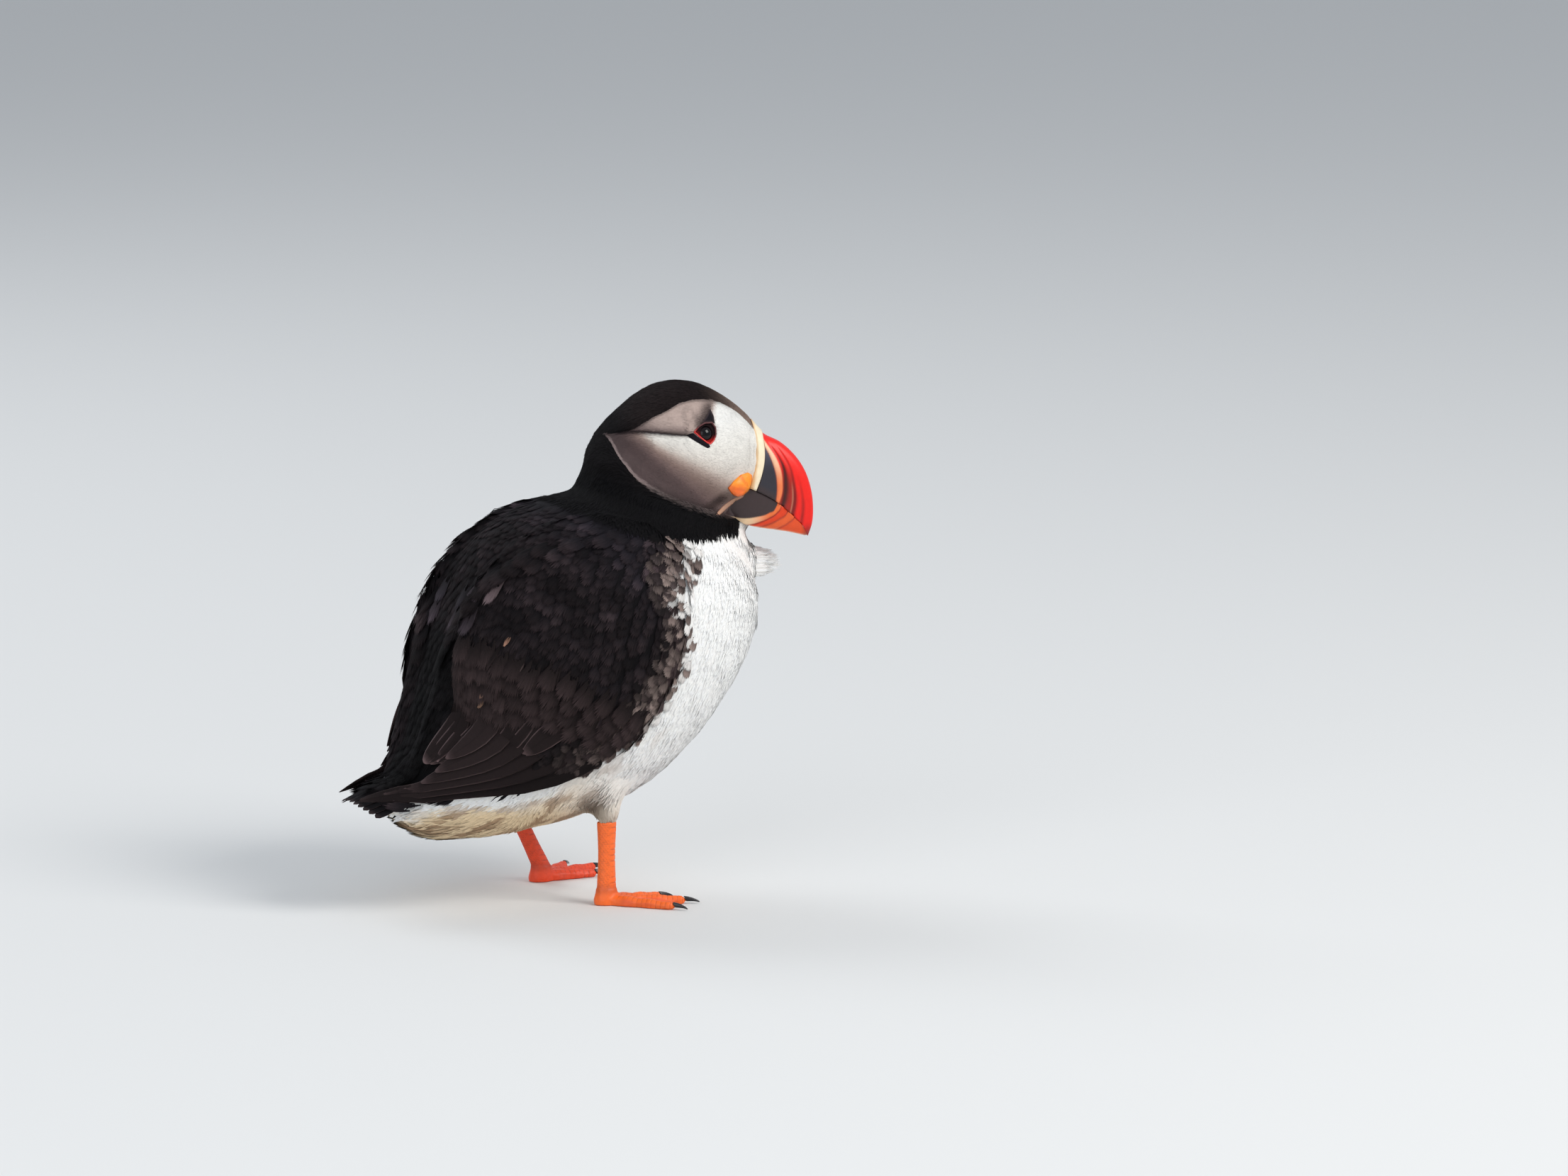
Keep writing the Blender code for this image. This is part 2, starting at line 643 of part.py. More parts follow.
def foot_solid(name, leg, nodes, cutters, finishes):
    """Three toes, the web between them and the ankle, fused and made flat underneath."""
    heel = Vector((*leg["ankle"], TOE_HEIGHT))
    bm = bmesh.new()
    tips = {}
    for toe, (_, length, radius) in TOES.items():
        tips[toe] = heel + toe_way(leg, toe) * length
        toe_form(bm, heel, tips[toe], radius * 1.25, radius * 0.72)
    web_form(bm, heel, tips["inner"], tips["middle"])
    web_form(bm, heel, tips["middle"], tips["outer"])
    loft([
        [(heel.x + LEG_HALF[0] * share * math.cos(a), heel.y + LEG_HALF[1] * share * math.sin(a), height)
         for a in steps(0, math.tau * 15 / 16, 16)]
        for height, share in ((-2.0, 1.15), (0.0, 1.25), (2.5, 1.25), (4.5, 1.1), (ANKLE_HEIGHT + 4, 1.0))
    ], bm)
    foot = as_clay(bm, FOOT_VOXEL, 3, FOOT_KEPT, nodes)
    halved(foot, (0, 0, 0), Vector((0, 0, -1)))
    halved(foot, (0, 0, ANKLE_HEIGHT - GAP / 2), Vector((0, 0, 1)))
    room = clearance_of(foot.copy(), f"foot_{name}_clearance", cutters)
    mesh_object(f"foot_{name}", foot, finishes["orange"], nodes, smooth=False)
    for toe in TOES:
        claw = claw_solid(f"claw_{name}_{toe}", leg, toe, heel, nodes, finishes)
        cut_with(claw, room, "fit_to_toe")


def claw_solid(name, leg, toe, heel, nodes, finishes):
    """A short hooked claw out of its toe's end, its point just clear of the floor."""
    _, length, radius = TOES[toe]
    way = toe_way(leg, toe)
    side = way.cross(Vector((0, 0, 1)))
    start = heel + way * (length + radius * 0.72 - CLAW_ROOT)
    rings = []
    for t in steps(0, 1, 5):
        middle = start + way * CLAW_LENGTH * math.sin(0.95 * t)
        size = CLAW_RADIUS * (1 - 0.75 * t)
        middle.z = 1.9 - 1.2 * t * t
        rings.append([
            middle + side * (math.cos(a) * size * 0.8) + Vector((0, 0, math.sin(a) * size))
            for a in steps(0, math.tau * 5 / 6, 6)
        ])
    return mesh_object(name, loft(rings), finishes["claw"], nodes)


# ---- bill, eyes and bare skin ---------------------------------------------------------


def along_curve(values, t):
    """A value or a place on a curve through evenly numbered points, by share of their count."""
    rows = [(i / (len(values) - 1), *(v if isinstance(v, tuple) else (v,))) for i, v in enumerate(values)]
    return curve_through(rows, t)


def bill_form(upper, places, grow=0.0, over=GAP / 2, behind=0.0, across=7, furrows=()):
    """A length of the upper or lower bill: sections from just off the gape line to its outer curve."""
    power = 0.62 if upper else 0.5
    rings = []
    for t in places:
        (lean,) = curve_through(LEAN, t) if upper else (t,)
        (bow,) = curve_through(BOW, t) if upper else (0.0,)
        inner = Vector(along_curve(GAPE_LINE, t))
        outer = Vector(along_curve(CULMEN if upper else GONYS, lean))
        way = (outer - inner).normalized()
        inner = inner + way * over
        outer = outer + way * grow
        furrow = max([max(0.0, 1 - abs(t - at) / GROOVE_HALF_WIDTH) for at in furrows] or [0.0])
        left, right = [], []
        for s in steps(0, 1, across):
            rise = math.sin(s * math.pi / 2)
            place = inner.lerp(outer, rise) + Vector((bow * math.sin(rise * math.pi), 0))
            if t == places[0]:
                place += Vector((-behind, behind * rise if upper else 0.0))
            thick = along_curve(BILL_HALF_WIDTH, t + (lean - t) * rise)[0] * (1.0 if upper else 0.93)
            out = (thick + grow - GROOVE_DEPTH * furrow) * max(math.cos(s * math.pi / 2), 0.0) ** power
            left.append(from_head(place.x, out, place.y))
            if s < 1:
                right.append(from_head(place.x, -out, place.y))
        rings.append(left + right[::-1])
    return loft(rings)


def around(furrows, first, last, count):
    """Even places with three more at each furrow, which are enough to draw it."""
    places = set(steps(first, last, count))
    places = {p for p in places if all(abs(p - at) > 1.4 * GROOVE_HALF_WIDTH for at in furrows)}
    for at in furrows:
        places |= {at - GROOVE_HALF_WIDTH, at, at + GROOVE_HALF_WIDTH}
    return sorted(places)


def bill_solids(nodes, cutters, finishes, head):
    """Pale band, upper bill and lower bill, and the clearance they need in the head."""
    cere = bill_form(True, steps(0.0, CERE_END, 3), CERE_PROUD)
    mesh_object("cere", cere, finishes["cere"], nodes)
    upper = bill_form(True, around(UPPER_GROOVES, CERE_END + 0.014, 1.0, 10), furrows=UPPER_GROOVES)
    mesh_object("upper_bill", upper, finishes["red"], nodes)
    lower = bill_form(False, around(LOWER_GROOVES, 0.0, 1.0, 9), furrows=LOWER_GROOVES, across=6)
    mesh_object("lower_bill", lower, finishes["red"], nodes)
    for name, is_upper, grow in (("upper", True, CERE_PROUD + 1.5 * GAP), ("lower", False, 1.5 * GAP)):
        room = bill_form(is_upper, steps(0.0, CERE_END, 3) + steps(0.2, 0.6, 5), grow, -grow, 3 * GAP)
        room = as_cutter(mesh_object(f"{name}_bill_room", room, None, cutters))
        cut_with(head, room, f"{name}_bill")


def skin_point(surface, ahead, up, side):
    """Where the head's surface is beside a place in its own frame, and its normal there."""
    start = from_head(ahead, side * 60.0, up)
    way = from_head(ahead, 0, up) - start
    place, normal, _, _ = surface.ray_cast(start * MM, way.normalized())
    return place / MM, normal


def plate_form(outline, surface, side, grow):
    """A small horny plate set into the skin beside the eye."""
    middle = sum((Vector(p) for p in outline), Vector((0, 0))) / len(outline)
    _, normal = skin_point(surface, middle.x, middle.y, side)
    near, far = [], []
    for corner in outline:
        flat = Vector(corner)
        flat = flat + (flat - middle).normalized() * grow * 1.6
        place, _ = skin_point(surface, flat.x, flat.y, side)
        near.append(place - normal * (PLATE_DEPTH + grow))
        far.append(place + normal * (PLATE_PROUD + grow))
    return loft([near, far])


def face_solids(nodes, cutters, finishes, head, faces, surface):
    """Eyes, the plates above and below them, and the orange skin at the corners of the mouth."""
    yaw = Matrix.Rotation(HEAD_YAW, 4, "Z")
    for name, side in (("left", 1), ("right", -1)):
        face = faces[side]
        place, normal = skin_point(surface, *EYE_AT, side)
        centre = place - normal * (EYE_RADIUS - EYE_PROUD)
        ball(f"eye_{name}", centre, [EYE_RADIUS] * 3, yaw, finishes["eye"], nodes)
        socket = as_cutter(ball(f"eye_{name}_room", centre, [EYE_RADIUS + GAP] * 3, yaw, None, cutters))
        cut_with(face, socket, "eye")
        for which, outline in (("upper", UPPER_PLATE), ("lower", LOWER_PLATE)):
            horn = plate_form(outline, surface, side, 0)
            horn = mesh_object(f"eye_plate_{which}_{name}", horn, finishes["plate"], nodes, smooth=False)
            cut_with(horn, socket, "eye")
            room = plate_form(outline, surface, side, GAP)
            room = mesh_object(f"eye_plate_{which}_{name}_room", room, None, cutters)
            cut_with(face, as_cutter(room), f"{which}_plate")
        place, normal = skin_point(surface, *ROSETTE_AT, side)
        facing = math.atan2(normal.y, normal.x) - side * math.pi / 2
        turn = Matrix.Rotation(facing, 4, "Z") @ Matrix.Rotation(-ROSETTE_TILT, 4, "Y")
        ball(f"gape_rosette_{name}", place, ROSETTE_SIZE, turn, finishes["rosette"], nodes)
        size = [s + GAP for s in ROSETTE_SIZE]
        room = as_cutter(ball(f"gape_rosette_{name}_room", place, size, turn, None, cutters))
        for host in (face, head):
            cut_with(host, room, f"rosette_{name}")


def main():
    for old in list(bpy.data.objects):
        bpy.data.objects.remove(old)
    nodes = bpy.data.collections.new("atlantic_puffin")
    cutters = bpy.data.collections.new("cutters")
    bpy.context.scene.collection.children.link(nodes)
    bpy.context.scene.collection.children.link(cutters)
    finishes = {
        "black": colour("black_plumage", (0.018, 0.016, 0.018), 0.75),
        "brown": colour("flight_feathers", (0.035, 0.028, 0.027), 0.6),
        "white": colour("white_plumage", (0.82, 0.81, 0.78), 0.8),
        "orange": colour("leg_skin", (0.85, 0.16, 0.02), 0.5),
        "claw": colour("claw_horn", (0.03, 0.025, 0.022), 0.4),
        "cere": colour("pale_band", (0.82, 0.68, 0.42), 0.5),
        "red": colour("bill_horn", (0.80, 0.06, 0.02), 0.35),
        "rosette": colour("gape_skin", (0.90, 0.33, 0.03), 0.55),
        "eye": colour("eye", (0.02, 0.012, 0.012), 0.08),
        "plate": colour("eye_plate", (0.10, 0.11, 0.14), 0.5),
    }
    head, faces, sheath, surface = body_solids(nodes, cutters, finishes)
    wing_solids(nodes, cutters, finishes, sheath)
    tail = mesh_object("tail", tail_form(), finishes["brown"], nodes)
    cut_with(tail, sheath, "fit_to_body")
    for name, leg in LEGS.items():
        leg_solid(name, leg, nodes, sheath, finishes)
        foot_solid(name, leg, nodes, cutters, finishes)
    face_solids(nodes, cutters, finishes, head, faces, surface)
    bill_solids(nodes, cutters, finishes, head)
    for made in [*nodes.objects, *cutters.objects]:
        made.location = Vector((-ORIGIN_X, -ORIGIN_Y, 0)) * MM


main()
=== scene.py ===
"""Atlantic puffin: the plumage, bill, eyes and feet of a still, life-size bird.

Lengths are millimetres in this file and become metres where a mesh is made.
+X is ahead of the bird, +Y is its left, +Z is up, and the floor is Z = 0.
"""

import logging
import math
from collections.abc import Callable, Iterator, Sequence
from contextlib import contextmanager
from dataclasses import dataclass, field, replace
from enum import Enum

import bmesh
import bpy
import numpy as np
from mathutils import Matrix, Vector
from mathutils.bvhtree import BVHTree
from mathutils.kdtree import KDTree

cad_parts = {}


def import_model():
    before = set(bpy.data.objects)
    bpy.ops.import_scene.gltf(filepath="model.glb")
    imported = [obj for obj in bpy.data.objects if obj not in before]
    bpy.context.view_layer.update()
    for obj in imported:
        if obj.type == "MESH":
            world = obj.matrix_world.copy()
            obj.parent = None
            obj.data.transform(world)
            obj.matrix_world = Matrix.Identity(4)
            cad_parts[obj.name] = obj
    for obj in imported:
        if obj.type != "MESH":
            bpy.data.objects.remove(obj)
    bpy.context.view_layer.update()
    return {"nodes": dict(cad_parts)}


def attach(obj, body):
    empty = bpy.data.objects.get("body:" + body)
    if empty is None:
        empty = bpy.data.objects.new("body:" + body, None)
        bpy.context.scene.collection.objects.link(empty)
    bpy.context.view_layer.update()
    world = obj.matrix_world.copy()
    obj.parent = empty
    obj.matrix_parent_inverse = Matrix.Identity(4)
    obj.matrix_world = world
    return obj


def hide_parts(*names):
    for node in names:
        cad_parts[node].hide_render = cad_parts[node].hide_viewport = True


log = logging.getLogger("puffin")

Array = np.ndarray
Random = np.random.Generator
Mesh = bpy.types.Mesh
Material = bpy.types.Material
Colour = tuple[float, float, float]

MM = 0.001
BODY = "root"
SIDES = {"left": 1, "right": -1}

# ---- numbers and curves ---------------------------------------------------------------


def step(low: float, high: float, value: Array) -> Array:
    """A soft rise from 0 at low to 1 at high.

    Args:
        low: Where the rise starts.
        high: Where it ends; below low, it falls instead.
        value: Where to read it.

    Returns:
        The rise at each value.
    """
    t = np.clip((value - low) / (high - low), 0.0, 1.0)
    return t * t * (3 - 2 * t)


def along_rows(rows: Sequence[Sequence[float]], at: Array) -> Array:
    """The smooth curve through a table's rows.

    Args:
        rows: Each a place, in order, and then the values there.
        at: The places to read, held to the table's ends.

    Returns:
        One row of values for each place; a table of one value gives a flat array.
    """
    table = np.array(rows, float)
    if table[0, 0] > table[-1, 0]:
        table = table[::-1]
    keys, values = table[:, 0], table[:, 1:]
    slopes = np.gradient(values, keys, axis=0)
    at = np.clip(np.asarray(at, float), keys[0], keys[-1])
    i = np.clip(np.searchsorted(keys, at, side="right") - 1, 0, len(keys) - 2)
    span = (keys[i + 1] - keys[i])[..., None]
    t = (at - keys[i])[..., None] / span
    out = (
        values[i] * (2 * t**3 - 3 * t**2 + 1)
        + slopes[i] * span * (t**3 - 2 * t**2 + t)
        + values[i + 1] * (3 * t**2 - 2 * t**3)
        + slopes[i + 1] * span * (t**3 - t**2)
    )
    return out[..., 0] if values.shape[1] == 1 else out


def unit(vectors: Array) -> Array:
    """Each vector made one long."""
    return vectors / np.maximum(np.linalg.norm(vectors, axis=-1, keepdims=True), 1e-9)


def within(outline: Sequence[Sequence[float]], across: Array, up: Array) -> Array:
    """Which flat places lie inside a closed outline."""
    inside = np.zeros(across.shape, bool)
    marks = np.array(outline)
    for (x0, y0), (x1, y1) in zip(marks, np.roll(marks, -1, 0)):
        between = (y0 > up) != (y1 > up)
        inside ^= between & (across < x0 + (x1 - x0) * (up - y0) / (y1 - y0 + 1e-12))
    return inside


def inside_by(outline: Sequence[Sequence[float]], across: Array, up: Array) -> Array:
    """How far inside a closed outline flat places lie, less than 0 outside it."""
    near = np.full(across.shape, 1e3)
    marks = np.array(outline)
    for mark, run in zip(marks, np.roll(marks, -1, 0) - marks):
        t = np.clip(((across - mark[0]) * run[0] + (up - mark[1]) * run[1]) / (run @ run), 0.0, 1.0)
        near = np.minimum(near, np.hypot(across - mark[0] - t * run[0], up - mark[1] - t * run[1]))
    return np.where(within(outline, across, up), near, -near)


def bell(away: Array, wide: float | Array) -> Array:
    """1 where away is 0, falling softly on either side."""
    return np.exp(-((away / wide) ** 2))


def mix(first: Array, second: Array, share: Array) -> Array:
    """Colours or vectors mixed by the second's share at each place."""
    return first + (second - first) * share[..., None]


def tone(red: int, green: int, blue: int) -> Array:
    """A screen colour of 0 to 255 as a linear one."""
    value = np.array([red, green, blue]) / 255
    return np.where(value <= 0.04045, value / 12.92, ((value + 0.055) / 1.055) ** 2.4)


def hue(red: int, green: int, blue: int) -> Array:
    """A dataclass field whose default is a screen colour."""
    return field(default_factory=lambda: tone(red, green, blue))


def vary(rng: Random, share: float, shape: int | tuple[int, ...]) -> Array:
    """Factors spread evenly round one, up to a share of it away."""
    return 1 + share * rng.uniform(-1, 1, shape)


# ---- the bird's own frames ------------------------------------------------------------

PITCH = math.radians(50)
MIDDLE = np.array([3.25, 0.0, 83.5])  # of the trunk
ALONG = np.array([math.cos(PITCH), 0.0, math.sin(PITCH)])
BACK = np.array([-math.sin(PITCH), 0.0, math.cos(PITCH)])
TAIL_WAY = unit(np.array([-0.93, 0.0, -0.37]))
SKULL = np.array([38.55, 0.0, 162.0])
YAW = math.radians(-20)
HEAD_AXES = np.array([
    [math.cos(YAW), math.sin(YAW), 0.0],
    [-math.sin(YAW), math.cos(YAW), 0.0],
    [0.0, 0.0, 1.0],
])
HEAD_PLANE = (np.array([31.25, 0.0, 152.5]), unit(np.array([0.37, 0.0, 0.93])))
RUMP_END = -74.0

# along, back line, belly line, half width
TRUNK = (
    (-87, 27, 19, 2), (-85, 32.5, 12, 12), (-80, 36.5, 4, 19), (-65, 42.5, -12.5, 29),
    (-45, 51.5, -30, 38), (-20, 62, -44.5, 44), (5, 66, -50, 46.5), (30, 61.5, -50, 45),
    (50, 48.5, -46, 39.5), (65, 33, -38, 31), (75, 16, -20, 19), (78.5, 2, -4, 3),
)
TRUNK_POWER = 2 / 2.15


def trunk_frame(points: Array) -> Array:
    """Places as (along, back, left) of the trunk."""
    away = points - MIDDLE
    return np.stack([away @ ALONG, away @ BACK, away[..., 1]], -1)


def head_frame(points: Array) -> Array:
    """Places as (ahead, left, up) of the skull."""
    return (points - SKULL) @ HEAD_AXES.T


def side_view(points: Array) -> tuple[Array, Array]:
    """Places as ahead and up of the skull."""
    local = head_frame(points)
    return local[..., 0], local[..., 2]


def over_neck(points: Array) -> Array:
    """How far places lie above the plane that parts the head from the neck."""
    return (points - HEAD_PLANE[0]) @ HEAD_PLANE[1]


def round_back(points: Array) -> tuple[Array, Array, Array]:
    """Places as along the trunk, towards its back, and degrees from the back line."""
    local = trunk_frame(points)
    return local[..., 0], local[..., 1], np.degrees(np.arctan2(np.abs(local[..., 2]), local[..., 1]))


def from_head(local: Array) -> Array:
    """Places in the model, from (ahead, left, up) of the skull."""
    return SKULL + np.asarray(local, float) @ HEAD_AXES


def on_trunk(along: Array, angle: Array, lift: Array | float = 0.0, side: int = 1) -> Array:
    """Places on the trunk's bare form.

    Args:
        along: From the rump to the neck; behind the rump they follow the tail.
        angle: Degrees from the back line round the bird's side.
        lift: How far out of the form.
        side: 1 for left, -1 for right.

    Returns:
        One place for each pair.
    """
    along, angle = np.broadcast_arrays(np.asarray(along, float), np.asarray(angle, float))
    slide = np.minimum(0.0, along - RUMP_END)
    back, belly, half = np.moveaxis(along_rows(TRUNK, along - slide), -1, 0)
    middle, depth = (back + belly) / 2, (back - belly) / 2
    turn = np.radians(angle)
    up = np.sign(np.cos(turn)) * np.abs(np.cos(turn)) ** TRUNK_POWER
    out = np.sign(np.sin(turn)) * np.abs(np.sin(turn)) ** TRUNK_POWER
    height = middle + (depth + lift) * up
    place = MIDDLE + np.multiply.outer(along - slide, ALONG) + np.multiply.outer(height, BACK)
    place[..., 1] += (half + lift) * out * side
    return place - np.multiply.outer(slide, TAIL_WAY)


# ---- markings and lie -----------------------------------------------------------------


@dataclass(frozen=True)
class Plumage:
    """Colours of the feathers, and the lines that part them.

    The face's lines are in the skull's frame, as (ahead, up); the wing's in the trunk's,
    as (along, back).
    """

    crown: Array = hue(32, 25, 25)
    forehead: Array = hue(150, 126, 114)
    collar: Array = hue(10, 9, 11)
    back: Array = hue(18, 15, 18)
    # painted sheen: the bluer, lighter grey of the shoulders stands for the sky's light on the black
    # feathers
    shoulder_sheen: Array = hue(27, 24, 30)
    rusty: Array = hue(74, 60, 60)
    tips: Array = hue(166, 146, 138)
    white: Array = hue(246, 244, 240)
    brow: Array = hue(178, 158, 149)
    brow_end: Array = hue(104, 88, 86)
    # painted shadow: the dark of the crease under the brow's overhang, also laid in the eye's socket
    shadow_dark: Array = hue(50, 40, 42)
    rim: Array = hue(152, 134, 130)
    chin: Array = hue(62, 50, 48)
    # distance from the cheek's shade line, and the red, green and blue there; darker towards the lower rear,
    # partly the face's own grey-brown and partly painted shade
    cheek_tones: tuple = (
        (-6, 84, 70, 69), (-3.5, 80, 66, 65), (-1, 91, 75, 73), (0.5, 112, 93, 89), (2.7, 150, 130, 121),
        (3.6, 178, 160, 150), (4.5, 205, 194, 184), (5.6, 223, 216, 207), (7.5, 231, 227, 219),
        (10, 239, 237, 232),
    )
    cream: Array = hue(226, 200, 160)
    soiled: Array = hue(140, 108, 82)
    face_top: tuple = (
        (-23, 12.6), (-18, 13.4), (-15.1, 14.2), (-11.8, 15.9), (-6.5, 19), (-0.4, 21.9), (4.4, 24.2),
        (7.9, 25.1), (13.5, 25.2), (18.4, 24.3), (23.9, 21.6), (28, 18.6), (31.4, 15.1), (36, 9),
    )
    face_foot: tuple = (
        (-23, 12.4), (-21.2, 9.5), (-17.8, 3.9), (-15.7, 1.3), (-12.5, -2.5), (-7.3, -6.4),
        (-1.2, -10.2), (5.7, -13.7), (12.7, -16.7), (18.4, -19.1), (24, -20.6), (30, -21.5),
    )
    crease: tuple = (
        (-20, 12.6), (-14.4, 13.8), (-9.3, 14.1), (-4.1, 13.9), (2.5, 13.4), (8.6, 13), (12, 12.8),
    )
    collar_line: tuple = (
        (-37, 170), (-5, 148.5), (15, 140.5), (32, 137.8), (45, 136.6), (56, 136.4), (61.5, 136.8),
        (64, 139.4), (67, 142), (90, 145),
    )
    wing_line: tuple = (
        (-95, 30), (-85, 29), (-73.6, 27.5), (-63.9, 19), (-57.5, 10.5), (-48.1, 4.5), (-43.7, 1.5),
        (-34.4, -0.3), (-20.5, -8), (-4.4, -14), (8.4, -13.3), (24.7, -11.5), (34, -3), (40, 8),
        (50, 10.5), (58.5, 12.6), (66, 16), (90, 28),
    )

    def is_head(self, points: Array) -> Array:
        """1 on the head, falling softly to 0 below the plane under it."""
        return step(-3.0, 3.0, over_neck(points))

    def over_collar(self, points: Array) -> Array:
        """How far a place lies above the black collar's lower edge."""
        return points[..., 2] - along_rows(self.collar_line, points[..., 0])

    def over_wing_line(self, points: Array) -> Array:
        """How far towards the back a place lies from the line between dark and white."""
        local = trunk_frame(points)
        return local[..., 1] - along_rows(self.wing_line, local[..., 0])

    def in_face(self, points: Array) -> Array:
        """How far inside the white face a place lies, less than 0 outside it."""
        ahead, up = side_view(points)
        top, foot = along_rows(self.face_top, ahead), along_rows(self.face_foot, ahead)
        back = (ahead + 23.0) * 1.2
        return np.minimum(np.minimum(top - up, up - foot) * 0.8, back)

    def face_colour(self, points: Array) -> Array:
        """White by the bill, grey-brown above the crease, and on the lower cheek a darker grey-brown that is
        partly painted shade, with a paler rim; painted shade also lies in the crease, along the brow's lower
        edge, round the upper plate and in the eye's socket.
        """
        ahead, up = side_view(points)
        shade = 0.651 * ahead + 0.759 * (up - 3.0) + 1.3
        shade = np.where(shade > 0, shade / (1 + 0.065 * np.maximum(ahead + 3.0, 0.0)), shade)
        colour = along_rows([(away, *tone(*screen)) for away, *screen in self.cheek_tones], shade)
        over = up - along_rows(self.crease, ahead)
        brow = mix(self.brow, self.brow_end, 0.9 * step(0.0, -13.0, ahead))
        # painted shadow: a dark soft arc round the upper plate, over the eye
        arc = np.maximum(-inside_by(Plates.upper, ahead, up), 0.0)
        dusk = bell(arc, 2.3) * step(17.5, 15.5, ahead - 0.3 * np.maximum(up - 19.0, 0.0))
        brow = mix(brow, self.brow_end * 0.4, 0.9 * dusk)
        front = step(19.5, 16.5, ahead - 0.25 * np.maximum(up - 20.0, 0.0))
        colour = mix(colour, brow, step(-0.1, 0.5, over) * front)
        run = step(-21.5, -17.0, ahead) * step(9.5, 7.5, ahead)
        # painted shade along the brow's lower edge, and a painted shadow in the crease under it
        colour = mix(colour, self.brow_end, 0.7 * run * bell(over - 1.3, 1.8))
        colour = mix(colour, self.shadow_dark, 0.95 * run * bell(over - 0.2, 0.75))
        off = np.abs(0.577 * (ahead - 21.5) - 0.817 * (up + 11.2))
        back = 0.817 * (21.5 - ahead) - 0.577 * (up + 11.2)
        chin = step(3.1, 0.4, off) * step(-3.5, 1.5, back) * step(14.5, 6.0, back)
        colour = mix(colour, self.chin, 0.95 * chin)
        foot = along_rows(self.face_foot, ahead)
        edge = step(2.6, 1.2, np.minimum(up - foot, (ahead + 23.0) * 0.8)) * step(21.0, 16.0, ahead)
        colour = mix(colour, self.rim, 0.85 * edge * step(13.0, 9.0, up))
        top = along_rows(self.face_top, ahead)
        colour = mix(colour, self.crown, 0.55 * step(1.2, 0.0, top - up) * step(26.0, 18.0, ahead))
        # painted shade: the skin inside the eye's outline, in its socket, is darkened
        return mix(colour, self.shadow_dark * 0.4, step(-0.25, 0.2, inside_by(Eye.outline, ahead, up)))

    def at(self, points: Array) -> Array:
        """The plumage's colour.

        Args:
            points: Places on the bird.

        Returns:
            A linear colour for each.
        """
        local = trunk_frame(points)
        ahead, up = side_view(points)
        brow = step(10.0, 34.0, ahead) ** 1.6
        crown = mix(self.crown, self.forehead, 0.9 * brow)
        crown = mix(crown, self.collar, 0.85 * step(-4.0, -16.0, ahead + 0.25 * up))
        head = np.where((self.in_face(points) > 0)[..., None], self.face_colour(points), crown)
        under_chin = step(-15.0, -19.0, up) * step(-2.0, 2.0, ahead)
        head = mix(head, self.collar, under_chin * (self.in_face(points) <= 0))
        trunk_along, trunk_back = local[..., 0], local[..., 1]
        over = self.over_wing_line(points)
        soiled = step(-16.0, -58.0, trunk_along) * step(-2.0, -12.0, over)
        belly = mix(self.white, self.cream, 0.95 * soiled)
        patches = np.sin(trunk_along * 0.31 + local[..., 2] * 0.12)
        patches = patches * np.sin(trunk_back * 0.43 + trunk_along * 0.17) + ragged(points * 0.45, 0.7)
        belly = mix(belly, self.soiled, 0.8 * soiled * step(-0.15, 0.75, patches))
        hem = step(-2.0, -9.0, over) * step(-16.0, -8.0, over)
        hem = 0.35 * hem * step(14.0, -20.0, trunk_along)
        belly = mix(belly, self.soiled, hem * step(-0.2, 0.7, patches))
        # darker at the rear of each thigh, just above the leg
        rear = np.where(points[..., 1] > 0, -23.0, -3.0)  # of each thigh
        thigh = np.exp(-(((points[..., 0] - rear) / 6.0) ** 2) - ((points[..., 2] - 39.5) / 7.0) ** 2)
        belly = mix(belly, self.soiled * 0.25, 0.9 * thigh * step(14.0, 20.0, np.abs(local[..., 2])))
        body = np.where((over > 0)[..., None], self.upper(points), belly)
        body = np.where((self.over_collar(points) > 0)[..., None], self.collar, body)
        return mix(body, head, self.is_head(points))

    def upper(self, points: Array) -> Array:
        """The upper side's colour: near black, with a painted sheen that makes the shoulders bluer and
        lighter, browner by its lower border, and with painted shade in the hollow between the wings.
        """
        along, _, angle = round_back(points)
        border = step(19.0, 2.0, self.over_wing_line(points)) * step(-50.0, -15.0, along)
        # painted sheen towards the shoulders
        colour = mix(self.back, self.shoulder_sheen, step(22.0, 48.0, along))
        colour = mix(colour, self.rusty, 0.6 * border)
        # painted shade: the hollow between the wings is darkened to near black, further round on the right
        # side
        reach = np.where(points[..., 1] < 0, 31.0, 12.0)
        between = step(0.0, -6.0, angle - reach) * step(-4.0, -22.0, along)
        return mix(colour, self.collar * 0.6, 0.9 * between)

    def mottle(self, points: Array) -> Array:
        """The colour of the tufts along the upper side's lower border, dark and pale by turns."""
        along = trunk_frame(points)[..., 0]
        near = step(16.0, 3.0, self.over_wing_line(points)) * step(-42.0, -14.0, along)
        pale = step(-0.9, 0.7, ragged(points * 0.5, 1.4)) * near
        return mix(self.upper(points) * 0.9, self.tips, pale * (1 - 0.6 * step(4.0, -26.0, along)))


PLUMAGE = Plumage()


